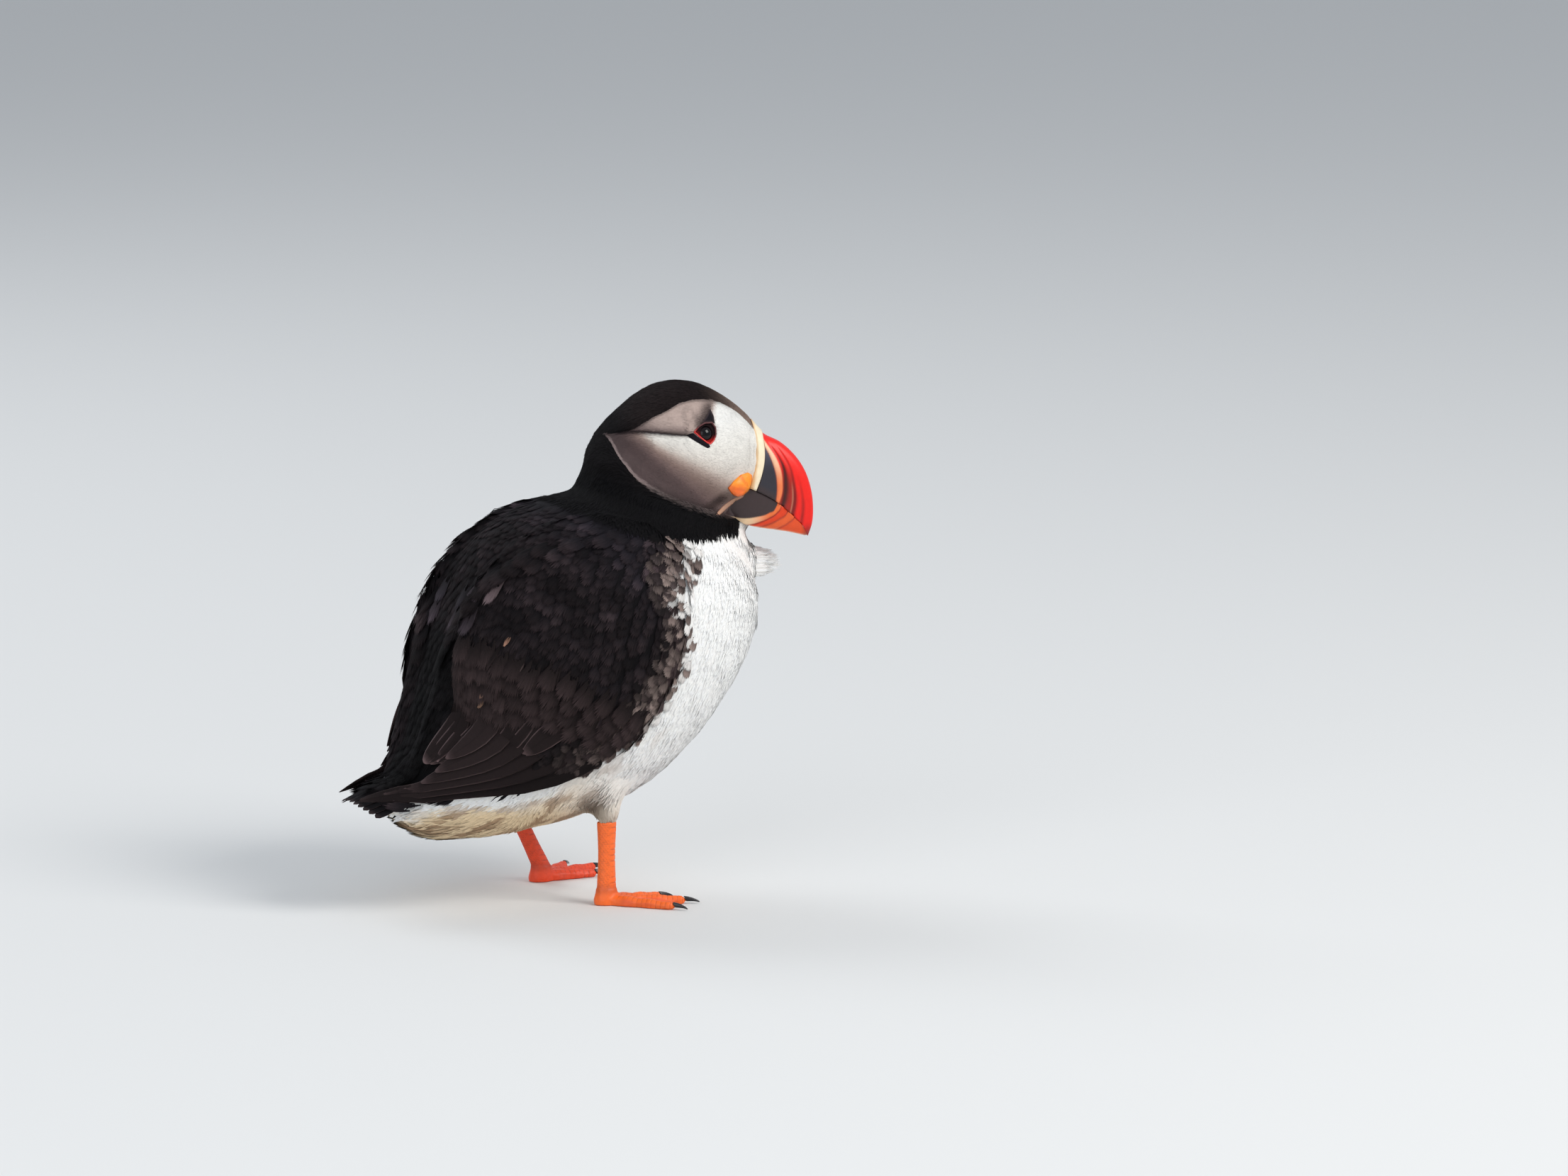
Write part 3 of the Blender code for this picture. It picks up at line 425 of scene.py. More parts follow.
def lie(points: Array, normals: Array) -> Array:
    """The way the feathers lie: back from the bill, down the neck, and along the trunk to the tail.

    Args:
        points: Places on the skin.
        normals: The skin's normals there.

    Returns:
        A direction in the skin for each.
    """
    skull = head_frame(points)
    away = unit(skull - np.array([36.0, 0.0, -4.0]))
    away[..., 2] += 0.10
    ahead, up = skull[..., 0], skull[..., 2]
    lines = (PLUMAGE.face_foot, PLUMAGE.crease, PLUMAGE.face_top)
    foot, crease, top = (along_rows(line, ahead) for line in lines)
    rises = [(along_rows(line, ahead - 1.5) - along_rows(line, ahead + 1.5)) / 3 for line in lines]
    under = np.clip((up - foot) / np.maximum(crease - foot, 1.0), 0, 1)
    above = np.clip((up - crease) / np.maximum(top - crease, 1.0), 0, 1)
    rise = rises[0] + (rises[1] - rises[0]) * under
    rise = np.where(up > crease, rises[1] + (rises[2] - rises[1]) * above, rise)
    flow = np.stack([-np.ones_like(rise), np.zeros_like(rise), np.clip(rise, -1.3, 1.3)], -1)
    outside = np.maximum(np.maximum(up - top, foot - up), 0.0)
    away = mix(away, unit(flow), step(8.0, 0.0, outside) * step(-26.0, -20.0, ahead))
    head = away @ HEAD_AXES
    neck = np.array([-0.35, 0.0, -1.0])
    on_head = step(-9.0, 7.0, over_neck(points))
    way = mix(neck, head, np.maximum(on_head, step(2.0, -0.5, outside) * (ahead > -22)))
    below = step(4.0, -14.0, PLUMAGE.over_collar(points))
    way = mix(way, -ALONG, below)
    tail = step(-45.0, -76.0, trunk_frame(points)[..., 0])
    way = mix(way, TAIL_WAY, tail)
    leg = step(46.0, 36.0, points[..., 2]) * step(22.0, 14.0, np.abs(np.abs(points[..., 1]) - 26.0))
    leg = leg * step(-36.0, -26.0, points[..., 0])
    way = mix(way, np.array([0.15, 0.0, -1.0]), leg)
    way = way - normals * np.sum(way * normals, -1, keepdims=True)
    return unit(way)


# ---- finishes -------------------------------------------------------------------------


class Tree:
    """A material's node tree round one Principled shader."""

    def __init__(self, name: str, **values: float | Sequence[float]) -> None:
        """Starts a material.

        Args:
            name: The material's name.
            **values: The shader's sockets, with _ for each space.
        """
        self.material = bpy.data.materials.new(name)
        self.material.use_nodes = True
        self.shader = self.material.node_tree.nodes["Principled BSDF"]
        for socket, value in values.items():
            self.shader.inputs[socket.replace("_", " ")].default_value = value

    def node(self, kind: str, **values: float) -> bpy.types.Node:
        """A new node, with values for its inputs."""
        node = self.material.node_tree.nodes.new(f"ShaderNode{kind}")
        for socket, value in values.items():
            node.inputs[socket.replace("_", " ")].default_value = value
        return node

    def link(self, out: bpy.types.NodeSocket, into: bpy.types.NodeSocket) -> None:
        """Joins two sockets."""
        self.material.node_tree.links.new(out, into)

    def noise(self, scale: float, detail: float = 3.0) -> bpy.types.NodeSocket:
        """A noise on Object coordinates, its scale in waves a millimetre."""
        texture = self.node("TexNoise", Scale=scale / MM, Detail=detail)
        self.link(self.node("TexCoord").outputs["Object"], texture.inputs["Vector"])
        return texture.outputs["Fac"]

    def mottled_tint(self, scale: float, low: float, high: float) -> None:
        """Colours the shader by the mesh's tint, lightened and darkened a little by a noise."""
        tint = self.node("Attribute")
        tint.attribute_name = "tint"
        span = self.node("MapRange", To_Min=low, To_Max=high)
        self.link(self.noise(scale), span.inputs["Value"])
        times = self.node("VectorMath")
        times.operation = "SCALE"
        self.link(tint.outputs["Color"], times.inputs[0])
        self.link(span.outputs["Result"], times.inputs["Scale"])
        self.link(times.outputs["Vector"], self.shader.inputs["Base Color"])

    def bump(self, scale: float, detail: float, strength: float, distance: float) -> None:
        """Raises the surface by a noise, its distance in millimetres."""
        node = self.node("Bump", Strength=strength, Distance=distance * MM)
        self.link(self.noise(scale, detail), node.inputs["Height"])
        self.link(node.outputs["Normal"], self.shader.inputs["Normal"])


@dataclass(frozen=True)
class Finish:
    """How one of the bird's surfaces takes the light; its colour is the mesh's own tint."""

    name: str
    roughness: float
    specular: float = 0.5
    coat: float = 0.0
    coat_roughness: float = 0.25
    sheer: float = 0.0  # how much light spreads under the surface
    spread: Colour = (1.0, 1.0, 1.0)
    deep: float = 1.0  # how far it spreads, in millimetres
    mottle: tuple[float, float, float] = (0.5, 0.9, 1.1)  # a noise's scale, and its least and most
    grain: tuple[float, ...] = ()  # a bump's scale, detail, strength and distance

    def material(self) -> Material:
        """The material."""
        tree = Tree(
            self.name,
            Roughness=self.roughness,
            Specular_IOR_Level=self.specular,
            Coat_Weight=self.coat,
            Coat_Roughness=self.coat_roughness,
            Subsurface_Weight=self.sheer,
            Subsurface_Radius=self.spread,
            Subsurface_Scale=self.deep * MM,
        )
        tree.mottled_tint(*self.mottle)
        if self.grain:
            tree.bump(*self.grain)
        return tree.material


@dataclass(frozen=True)
class FloorFinish:
    """The plain pale floor."""

    colour: Colour = (0.72, 0.72, 0.71)

    def material(self) -> Material:
        """The material."""
        return Tree("floor", Roughness=0.8, Specular_IOR_Level=0.2, Base_Color=(*self.colour, 1.0)).material


FEATHERS = Finish("feathers", 0.8, 0.10, sheer=0.1, deep=0.6, mottle=(0.9, 0.86, 1.14))
FLESH = Finish(
    "skin", 0.46, 0.5, coat=0.12, coat_roughness=0.3, sheer=0.12, spread=(1.2, 0.5, 0.25),
    mottle=(0.7, 0.88, 1.12), grain=(2.2, 5.0, 0.35, 0.25),
)
LEG_SKIN = replace(
    FLESH, name="leg_skin", roughness=0.5, coat=0.10, sheer=0.10, grain=(2.2, 5.0, 0.45, 0.25)
)
HORN = Finish("horn", 0.42, 0.35, 0.10, grain=(1.3, 6.0, 0.22, 0.2))
CLAW = replace(HORN, name="claw", roughness=0.34, coat=0.3, grain=(1.3, 6.0, 0.12, 0.2))
PLATE = replace(HORN, name="plate", roughness=0.8, coat=0.0, specular=0.12, grain=(1.3, 6.0, 0.15, 0.2))
WET = Finish("eye", 0.08, 0.2, 0.12, 0.02, mottle=(1.5, 0.9, 1.1))


# ---- meshes from arrays ---------------------------------------------------------------


@dataclass
class Surface:
    """A mesh held as arrays: its points, its faces of three or four corners, and each point's tint."""

    points: Array
    faces: list[Array]
    tints: Array

    def turned_out(self) -> "Surface":
        """The same, its faces turned over where its volume comes out negative."""
        volume = 0.0
        for group in self.faces:
            corners = self.points[group]
            for i in range(1, group.shape[1] - 1):
                normals = np.cross(corners[:, i], corners[:, i + 1])
                volume += np.einsum("ij,ij->i", corners[:, 0], normals).sum()
        if volume < 0:
            self.faces = [group[:, ::-1] for group in self.faces]
        return self


def tinted(mesh: Mesh, tints: Array) -> None:
    """Writes each point's tint to the mesh."""
    store = mesh.attributes.new("tint", "FLOAT_COLOR", "POINT")
    store.data.foreach_set("color", np.c_[tints, np.ones(len(tints))].astype(np.float32).ravel())


def points_of(mesh: Mesh) -> Array:
    """A mesh's points, in millimetres."""
    flat = np.empty(len(mesh.vertices) * 3, np.float32)
    mesh.vertices.foreach_get("co", flat)
    return flat.reshape(-1, 3).astype(float) / MM


def normals_of(mesh: Mesh) -> Array:
    """A mesh's normals at its points."""
    flat = np.empty(len(mesh.vertices) * 3, np.float32)
    mesh.vertex_normals.foreach_get("vector", flat)
    return flat.reshape(-1, 3).astype(float)


def move_points(mesh: Mesh, points: Array) -> None:
    """Sets a mesh's points, from millimetres."""
    mesh.vertices.foreach_set("co", (points * MM).astype(np.float32).ravel())
    mesh.update()


def mesh_from(name: str, surface: Surface) -> Mesh:
    """A smooth mesh from arrays.

    Args:
        name: The mesh's name.
        surface: Its arrays, in millimetres.

    Returns:
        The mesh, with its tint.
    """
    mesh = bpy.data.meshes.new(name)
    sizes = np.concatenate([np.full(len(group), group.shape[1]) for group in surface.faces])
    corners = np.concatenate([group.ravel() for group in surface.faces]).astype(np.int32)
    mesh.vertices.add(len(surface.points))
    mesh.vertices.foreach_set("co", (surface.points * MM).astype(np.float32).ravel())
    mesh.loops.add(len(corners))
    mesh.loops.foreach_set("vertex_index", corners)
    mesh.polygons.add(len(sizes))
    mesh.polygons.foreach_set("loop_start", np.r_[0, np.cumsum(sizes)[:-1]].astype(np.int32))
    mesh.polygons.foreach_set("loop_total", sizes.astype(np.int32))
    mesh.polygons.foreach_set("use_smooth", np.ones(len(sizes), bool))
    mesh.update(calc_edges=True)
    tinted(mesh, surface.tints)
    return mesh


def piece(
    name: str,
    mesh: Mesh,
    finish: Material,
    replaces: Sequence[str] = (),
) -> bpy.types.Object:
    """Puts a finished mesh in the scene as one piece of the bird.

    Args:
        name: The piece's name.
        mesh: Its mesh, in place.
        finish: Its material.
        replaces: The solids that it stands for.

    Returns:
        The object.
    """
    mesh.materials.clear()
    mesh.materials.append(finish)
    obj = bpy.data.objects.new(name, mesh)
    bpy.context.scene.collection.objects.link(obj)
    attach(obj, BODY)
    if replaces:
        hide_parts(*replaces)
    mesh.calc_loop_triangles()
    log.info("%s: %d triangles", name, len(mesh.loop_triangles))
    return obj


def loft(rings: Array, round_trip: bool = False) -> bmesh.types.BMesh:
    """A closed form through rings of points, by extruding its end face from each to the next.

    Args:
        rings: Rings of equally many points each, in millimetres.
        round_trip: Whether the last ring joins the first.

    Returns:
        The form, in metres.
    """
    bm = bmesh.new()
    rings = np.asarray(rings) * MM
    face = bm.faces.new([bm.verts.new(p) for p in rings[0]])
    cap = face.copy()
    for ring in [*rings[1:], *rings[:1]] if round_trip else rings[1:]:
        face = bmesh.ops.extrude_discrete_faces(bm, faces=[face])["faces"][0]
        for vert, place in zip(face.verts, ring):
            vert.co = place
    if round_trip:
        bmesh.ops.delete(bm, geom=[cap, face], context="FACES_ONLY")
    bmesh.ops.remove_doubles(bm, verts=bm.verts, dist=1e-7)
    bmesh.ops.recalc_face_normals(bm, faces=bm.faces)
    if bm.calc_volume(signed=True) < 0:
        bmesh.ops.reverse_faces(bm, faces=bm.faces)
    return bm


def mesh_of(bm: bmesh.types.BMesh, name: str = "form") -> Mesh:
    """The finished mesh of a bmesh, shaded smooth."""
    for face in bm.faces:
        face.smooth = True
    mesh = bpy.data.meshes.new(name)
    bm.to_mesh(mesh)
    bm.free()
    return mesh


@contextmanager
def opened(mesh: Mesh) -> Iterator[bmesh.types.BMesh]:
    """Lends a mesh to bmesh's operators, and writes it back."""
    bm = bmesh.new()
    bm.from_mesh(mesh)
    yield bm
    bm.to_mesh(mesh)
    bm.free()
    mesh.update()


def voxels(mesh: Mesh, size: float, smoothing: int) -> Mesh:
    """The mesh as one surface of even small faces.

    Args:
        mesh: Closed forms, which may overlap.
        size: The voxels' size in millimetres.
        smoothing: Passes of smoothing after.

    Returns:
        A new mesh.
    """
    obj = bpy.data.objects.new("voxels", mesh)
    bpy.context.scene.collection.objects.link(obj)
    remesh = obj.modifiers.new("remesh", "REMESH")
    remesh.mode = "VOXEL"
    remesh.voxel_size = size * MM
    remesh.adaptivity = 0
    graph = bpy.context.evaluated_depsgraph_get()
    fine = bpy.data.meshes.new_from_object(obj.evaluated_get(graph))
    bpy.data.objects.remove(obj)
    smoothed(fine, smoothing)
    return fine


def smoothed(mesh: Mesh, passes: int) -> None:
    """Smooths a mesh in place, and shades it smooth."""
    with opened(mesh) as bm:
        for _ in range(passes):
            bmesh.ops.smooth_vert(
                bm, verts=bm.verts, factor=0.5, use_axis_x=True, use_axis_y=True, use_axis_z=True
            )
        for face in bm.faces:
            face.smooth = True


def copies(nodes: dict, names: Sequence[str], push: float) -> Mesh:
    """Merged copies of solids as one mesh.

    Args:
        nodes: The frame's nodes.
        names: Which to copy.
        push: How far out each is pushed, so that neighbours meet.

    Returns:
        A new mesh.
    """
    together = bmesh.new()
    for name in names:
        grown = nodes[name].data.copy()
        with opened(grown) as bm:
            bmesh.ops.remove_doubles(bm, verts=bm.verts, dist=1e-6)
            bm.normal_update()
            for vert, normal in [(v, v.normal.copy()) for v in bm.verts]:
                vert.co += normal * push * MM
        together.from_mesh(grown)
        bpy.data.meshes.remove(grown)
    mesh = bpy.data.meshes.new("copies")
    together.to_mesh(mesh)
    together.free()
    return mesh


# ---- the skin -------------------------------------------------------------------------


class Ground:
    """Surfaces that other pieces are laid on."""

    def read(self, *meshes: Mesh) -> None:
        """Keeps the surfaces' triangles, areas and search tree."""
        points, normals, triangles = [], [], []
        for mesh in meshes:
            mesh.calc_loop_triangles()
            flat = np.empty(len(mesh.loop_triangles) * 3, np.int32)
            mesh.loop_triangles.foreach_get("vertices", flat)
            triangles.append(flat.reshape(-1, 3) + sum(len(p) for p in points))
            points.append(points_of(mesh))
            normals.append(normals_of(mesh))
        self.points, self.normals, self.triangles = (np.concatenate(a) for a in (points, normals, triangles))
        a, b, c = (self.points[self.triangles[:, i]] for i in range(3))
        self.areas = np.linalg.norm(np.cross(b - a, c - a), axis=1) / 2
        self.centres = (a + b + c) / 3
        self.tree = BVHTree.FromPolygons(self.points.tolist(), self.triangles.tolist())

    def snap(self, points: Array) -> tuple[Array, Array]:
        """The nearest places on the surfaces, and the smooth normals there."""
        places, normals = np.empty_like(points), np.empty_like(points)
        for i, point in enumerate(points):
            place, _, face, _ = self.tree.find_nearest(point)
            corners = self.triangles[face]
            weights = 1 / (np.linalg.norm(self.points[corners] - np.array(place), axis=1) + 0.05)
            places[i] = place
            normals[i] = weights @ self.normals[corners]
        return places, unit(normals)

    def drape(self, starts: Array, ends: Array) -> tuple[Array, Array]:
        """Where lines first meet a surface.

        Args:
            starts: Outside the bird.
            ends: Inside it, each on its line.

        Returns:
            The places, and the smooth normals there; where a line misses, the nearest place.
        """
        places = np.array(ends, float)
        for i, (start, end) in enumerate(zip(starts, ends)):
            hit = self.tree.ray_cast(start, Vector(end - start))[0]
            if hit is not None:
                places[i] = hit
        return self.snap(places)

    def beside(self, flat: Array, side: int) -> tuple[Array, Array]:
        """Places on one side of the head, from (ahead, up) of the skull, and the normals there."""
        outer = np.insert(flat, 1, 60.0 * side, axis=-1).reshape(-1, 3)
        places, normals = self.drape(from_head(outer), from_head(outer * (1, 0, 1)))
        return places.reshape(*flat.shape[:-1], 3), normals.reshape(*flat.shape[:-1], 3)


@dataclass
class Skin(Ground):
    """One closed skin under all the feathers, a coat's depth inside the solids."""

    voxel: float = 1.0
    push: float = 0.5
    mouth_cut: float = 35.8  # where it ends inside the bill, ahead in the skull's frame
    flesh: tuple = ("head", "face_left", "face_right", "neck", "mantle", "trunk",
                    "thigh_left", "thigh_right", "wing_left", "wing_right")
    fillers: tuple = ("cere", "upper_bill", "lower_bill", "gape_rosette_left", "gape_rosette_right",
                      "eye_plate_upper_left", "eye_plate_lower_left", "eye_plate_upper_right",
                      "eye_plate_lower_right", "eye_left", "eye_right")
    head_depth: float = 0.4
    neck_depth: float = 0.7
    white_depth: float = 0.8
    dark_depth: float = 1.1
    hollow: float = 3.2  # how deep the back sinks between the wings

    def depth(self, points: Array) -> Array:
        """How far under the solids' surface the skin lies."""
        dark = step(-3.0, 3.0, PLUMAGE.over_wing_line(points))
        body = self.white_depth + (self.dark_depth - self.white_depth) * dark
        neck = step(-8.0, 4.0, PLUMAGE.over_collar(points))
        body = body + (self.neck_depth - body) * neck
        depth = body + (self.head_depth - body) * PLUMAGE.is_head(points)
        along, back, angle = round_back(points)
        between = step(17.0, 7.0, angle) * step(22.0, -12.0, along) * step(-76.0, -60.0, along)
        return depth + self.hollow * between * step(0.0, 10.0, back)

    def folds(self, points: Array) -> Array:
        """How far the skin is raised, or sunk where less than 0, by the head's folds and sockets."""
        local = head_frame(points)
        ahead, up = local[..., 0], local[..., 2]
        side = step(8.0, 13.0, np.abs(local[..., 1]))
        crease = up - along_rows(PLUMAGE.crease, ahead)
        run = step(-21.0, -15.0, ahead) * step(10.5, 7.0, ahead)
        out = -1.0 * bell(crease, 0.6) + 0.85 * step(0.2, 1.3, crease) * step(8.0, 2.5, crease)
        out = out + 0.3 * bell(crease + 2.4, 1.8)
        out = out * run
        cheek = np.exp(-(((ahead - 2.0) / 10.0) ** 2) - (((up + 3.0) / 7.0) ** 2))
        out = out + 0.5 * cheek
        out = out - 2.4 * step(0.1, 1.1, inside_by(Eye.outline, ahead, up))
        out = out + 0.4 * bell(np.hypot(ahead - 9.0, up - 20.0) - 1.5, 2.0)
        out = out * side - 1.7 * step(-0.2, 1.2, self.bill_base(points))
        return out * PLUMAGE.is_head(points)

    @staticmethod
    def bill_base(points: Array) -> Array:
        """How far inside the lower bill's root a place lies."""
        ahead, up = side_view(points)
        edge = (11.0 * (ahead - 20.8) - 9.4 * (up + 19.6)) / 14.47
        return np.minimum(edge, 1.2 * (up - along_rows(Bill.gonys, ahead)))

    def build(self, nodes: dict, finish: Material) -> None:
        """Makes the skin and readies it for questions.

        Args:
            nodes: The frame's nodes.
            finish: The skin's material.
        """
        mesh = voxels(copies(nodes, self.flesh + self.fillers, self.push), self.voxel, 5)
        with opened(mesh) as bm:
            everything = bm.verts[:] + bm.edges[:] + bm.faces[:]
            cut = Vector(from_head([self.mouth_cut, 0.0, 0.0]) * MM)
            sliced = bmesh.ops.bisect_plane(
                bm, geom=everything, plane_co=cut, plane_no=Vector(HEAD_AXES[0]), clear_outer=True
            )
            rim = [g for g in sliced["geom_cut"] if isinstance(g, bmesh.types.BMEdge)]
            bmesh.ops.holes_fill(bm, edges=rim, sides=0)
            bmesh.ops.triangulate(bm, faces=[f for f in bm.faces if len(f.verts) > 4])
        points = points_of(mesh)
        move_points(mesh, points - normals_of(mesh) * (self.push + self.depth(points))[:, None])
        smoothed(mesh, 4)
        self._refine(mesh)
        points = points_of(mesh)
        move_points(mesh, points + normals_of(mesh) * self.folds(points)[:, None])
        smoothed(mesh, 1)
        self.read(mesh)
        colours = PLUMAGE.at(self.points)
        tinted(mesh, colours * np.where(colours.mean(1, keepdims=True) > 0.1, 0.9, 0.5))
        self.obj = piece("skin", mesh, finish, self.flesh)

    def _refine(self, mesh: Mesh) -> None:
        """Halves the faces at the sides of the head, where the folds are fine."""
        local = head_frame(points_of(mesh))
        fine = (local[:, 0] > -22) & (local[:, 0] < 33) & (local[:, 2] > -22) & (local[:, 2] < 26)
        fine &= np.abs(local[:, 1]) > 5.0
        with opened(mesh) as bm:
            edges = [e for e in bm.edges if fine[e.verts[0].index] and fine[e.verts[1].index]]
            bmesh.ops.subdivide_edges(bm, edges=edges, cuts=1, use_grid_fill=True)
            bmesh.ops.triangulate(bm, faces=[f for f in bm.faces if len(f.verts) > 4])

    def scatter(self, keep: Callable[[Array], Array], spacing: float, seed: int) -> tuple[Array, Array]:
        """Even random places on a part of the skin.

        Args:
            keep: Which places to keep, as a truth for each.
            spacing: The least distance between two.
            seed: For the random draw.

        Returns:
            The places and the smooth normals there.
        """
        rng = np.random.default_rng(seed)
        inside = np.flatnonzero(keep(self.centres))
        crowd = self.areas[inside] / spacing**2
        count = int(3.2 * crowd.sum())
        chosen = inside[rng.choice(len(inside), size=count, p=crowd / crowd.sum())]
        weights = rng.dirichlet((1.0, 1.0, 1.0), count)
        corners = self.triangles[chosen]
        points = np.einsum("ij,ijk->ik", weights, self.points[corners])
        normals = unit(np.einsum("ij,ijk->ik", weights, self.normals[corners]))
        right = keep(points)
        points, normals = points[right], normals[right]
        tree = KDTree(len(points))
        for i, point in enumerate(points):
            tree.insert(point, i)
        tree.balance()
        free = np.ones(len(points), bool)
        taken = []
        for i, point in enumerate(points):
            if free[i]:
                taken.append(i)
                for _, near, _ in tree.find_range(point, spacing):
                    free[near] = False
        return points[taken], normals[taken]


@dataclass
class Cover:
    """The bare pieces, which no feather's root may lie under."""

    nodes: dict
    names: tuple = ("cere", "upper_bill", "lower_bill", "eye_left", "eye_right", "gape_rosette_left",
                    "gape_rosette_right")

    def __post_init__(self) -> None:
        """Gathers the pieces as one search tree."""
        mesh = copies(self.nodes, self.names, 0.0)
        mesh.calc_loop_triangles()
        faces = [list(t.vertices) for t in mesh.loop_triangles]
        self.tree = BVHTree.FromPolygons(points_of(mesh).tolist(), faces)

    def clear(self, points: Array, normals: Array, reach: float = 3.0) -> Array:
        """Which places have nothing bare within reach over them."""
        out = np.ones(len(points), bool)
        for i, (point, normal) in enumerate(zip(points, normals)):
            out[i] = self.tree.ray_cast(point - normal * 0.5, Vector(normal), reach + 0.5)[0] is None
        return out


# ---- feathers -------------------------------------------------------------------------


class Section(Enum):
    """The outline across a tuft or vane, as (across, up) round it."""

    SPIKE = ((-1, 0), (0, 1), (1, 0))
    VANE = (
        (-1, -0.4), (-0.87, -0.02), (-0.12, 0.35), (0, 0.9), (0.12, 0.35), (0.87, -0.02), (1, -0.4),
        (0, -0.7),
    )


def rings_faces(count: int, rings: int, around: int) -> list[Array]:
    """The faces of many lofts alike, each of rings of points, its tip point and a cap at its root.

    Args:
        count: How many lofts.
        rings: Rings in each.
        around: Points in each ring.

    Returns:
        Groups of faces by their corners.
    """
    each = rings * around + 1
    start = np.arange(count)[:, None, None] * each
    i = np.arange(around)
    ring = np.arange(rings - 1)[:, None] * around
    after = (i + 1) % around
    quads = np.stack([ring + i, ring + around + i, ring + around + after, ring + after], -1)
    quads = (quads.reshape(-1, 4)[None] + start).reshape(-1, 4)
    last = (rings - 1) * around
    tips = np.stack([last + i, np.full(around, rings * around), last + after], -1)
    tips = (tips[None] + start).reshape(-1, 3)
    fan = np.arange(1, around - 1)
    cap = np.stack([np.zeros_like(fan), fan, fan + 1], -1)
    cap = (cap[None] + start).reshape(-1, 3)
    return [quads, tips, cap]


@dataclass
class Coat:
    """Tufts or vanes gathered as arrays, to become one piece."""

    name: str
    finish: Material
    slot: str
    unwrap: Callable[[Array], Array]
    points: list = field(default_factory=list)
    faces: list = field(default_factory=list)
    tints: list = field(default_factory=list)
    places: list = field(default_factory=list)
    facings: list = field(default_factory=list)
    softs: list = field(default_factory=list)
    held: int = 0

    def add(
        self,
        spines: Array,
        ups: Array,
        halves: Array,
        thick: Array,
        section: Section,
        tints: Array,
        facing: Array | None = None,
        soft: float = 0.0,
    ) -> None:
        """Adds tufts or vanes alike.

        Args:
            spines: The middle of each ring of each, and last its tip: (many, rings + 1, 3).
            ups: The way up at each of those.
            halves: Half of each ring's width: (many, rings).
            thick: Each ring's thickness: (many, rings).
            section: The outline across.
            tints: Colours of each ring's points and the tip: (many, rings * around + 1, 3).
            facing: The way that the plumage faces there, where that isn't up.
            soft: How far its shading follows that way rather than its own form.
        """
        shape = np.array(section.value)
        facing = unit(ups if facing is None else facing)
        count, rings = halves.shape
        around = len(shape)
        ways = unit(np.gradient(spines, axis=1))
        sides = unit(np.cross(ways, ups))
        ups = unit(np.cross(sides, ways))
        body = spines[:, :-1, None]
        body = body + sides[:, :-1, None] * (halves[:, :, None, None] * shape[None, None, :, :1])
        body = body + ups[:, :-1, None] * (thick[:, :, None, None] * shape[None, None, :, 1:])
        points = np.concatenate([body.reshape(count, -1, 3), spines[:, -1:]], 1)
        faces = rings_faces(count, rings, around)
        self.points.append(points.reshape(-1, 3))
        self.faces.append([group + self.held for group in faces])
        self.tints.append(np.broadcast_to(tints, points.shape).reshape(-1, 3))
        across = np.tile(shape[:, 0] / 2, rings)
        down = np.repeat(np.arange(rings) / rings, around) - 0.5
        faced = np.concatenate([np.repeat(facing[:, :-1], around, 1), facing[:, -1:]], 1)
        self.facings.append(faced.reshape(-1, 3))
        self.softs.append(np.full(faced.shape[0] * faced.shape[1], soft))
        inside = np.c_[np.r_[across, 0.0], np.r_[down, 0.5]] * 0.003
        roots = np.repeat(spines[:, :1], points.shape[1], 1).reshape(-1, 3)
        self.places.append((roots, np.tile(inside, (count, 1))))
        self.held += len(self.points[-1])

    def build(self, replaces: Sequence[str] = ()) -> bpy.types.Object:
        """Joins all that was added into one piece, with its unwrap.

        Args:
            replaces: The solids that it stands for.

        Returns:
            The object.
        """
        groups = [np.concatenate(group) for group in zip(*self.faces)]
        surface = Surface(np.concatenate(self.points), groups, np.concatenate(self.tints)).turned_out()
        mesh = mesh_from(self.name, surface)
        softs = np.concatenate(self.softs)
        if softs.max() > 0:
            shading = unit(mix(normals_of(mesh), np.concatenate(self.facings), softs))
            mesh.normals_split_custom_set_from_vertices(shading)
        roots = np.concatenate([r for r, _ in self.places])
        flat = self.unwrap(roots)
        low, high = flat.min(0), flat.max(0)
        flat = 0.005 + 0.99 * (flat - low) / np.maximum(high - low, 1e-6)
        flat = np.clip(flat + np.concatenate([i for _, i in self.places]), 0.0, 1.0)
        layer = mesh.uv_layers.new(name="OFBake")
        corners = np.empty(len(mesh.loops), np.int32)
        mesh.loops.foreach_get("vertex_index", corners)
        layer.data.foreach_set("uv", flat[corners].astype(np.float32).ravel())
        return piece(self.name, mesh, self.finish, replaces)


def around_trunk(points: Array) -> Array:
    """The trunk's skin unwrapped: the angle round it, and along."""
    local = trunk_frame(points)
    return np.stack([np.arctan2(local[:, 2], local[:, 1] - 6.0) * 40, local[:, 0]], -1)


def around_neck(points: Array) -> Array:
    """The neck's skin unwrapped: the angle round it, and height."""
    return np.stack([np.arctan2(points[:, 1], points[:, 0] - 31.0) * 28, points[:, 2]], -1)


def around_head(points: Array) -> Array:
    """The head's skin unwrapped: the angle round the line ahead, and the angle from it."""
    local = head_frame(points)
    polar = np.arctan2(np.hypot(local[:, 1], local[:, 2] - 3.0), local[:, 0])
    return np.stack([np.arctan2(local[:, 1], local[:, 2] - 3.0) * 20, polar * 20], -1)


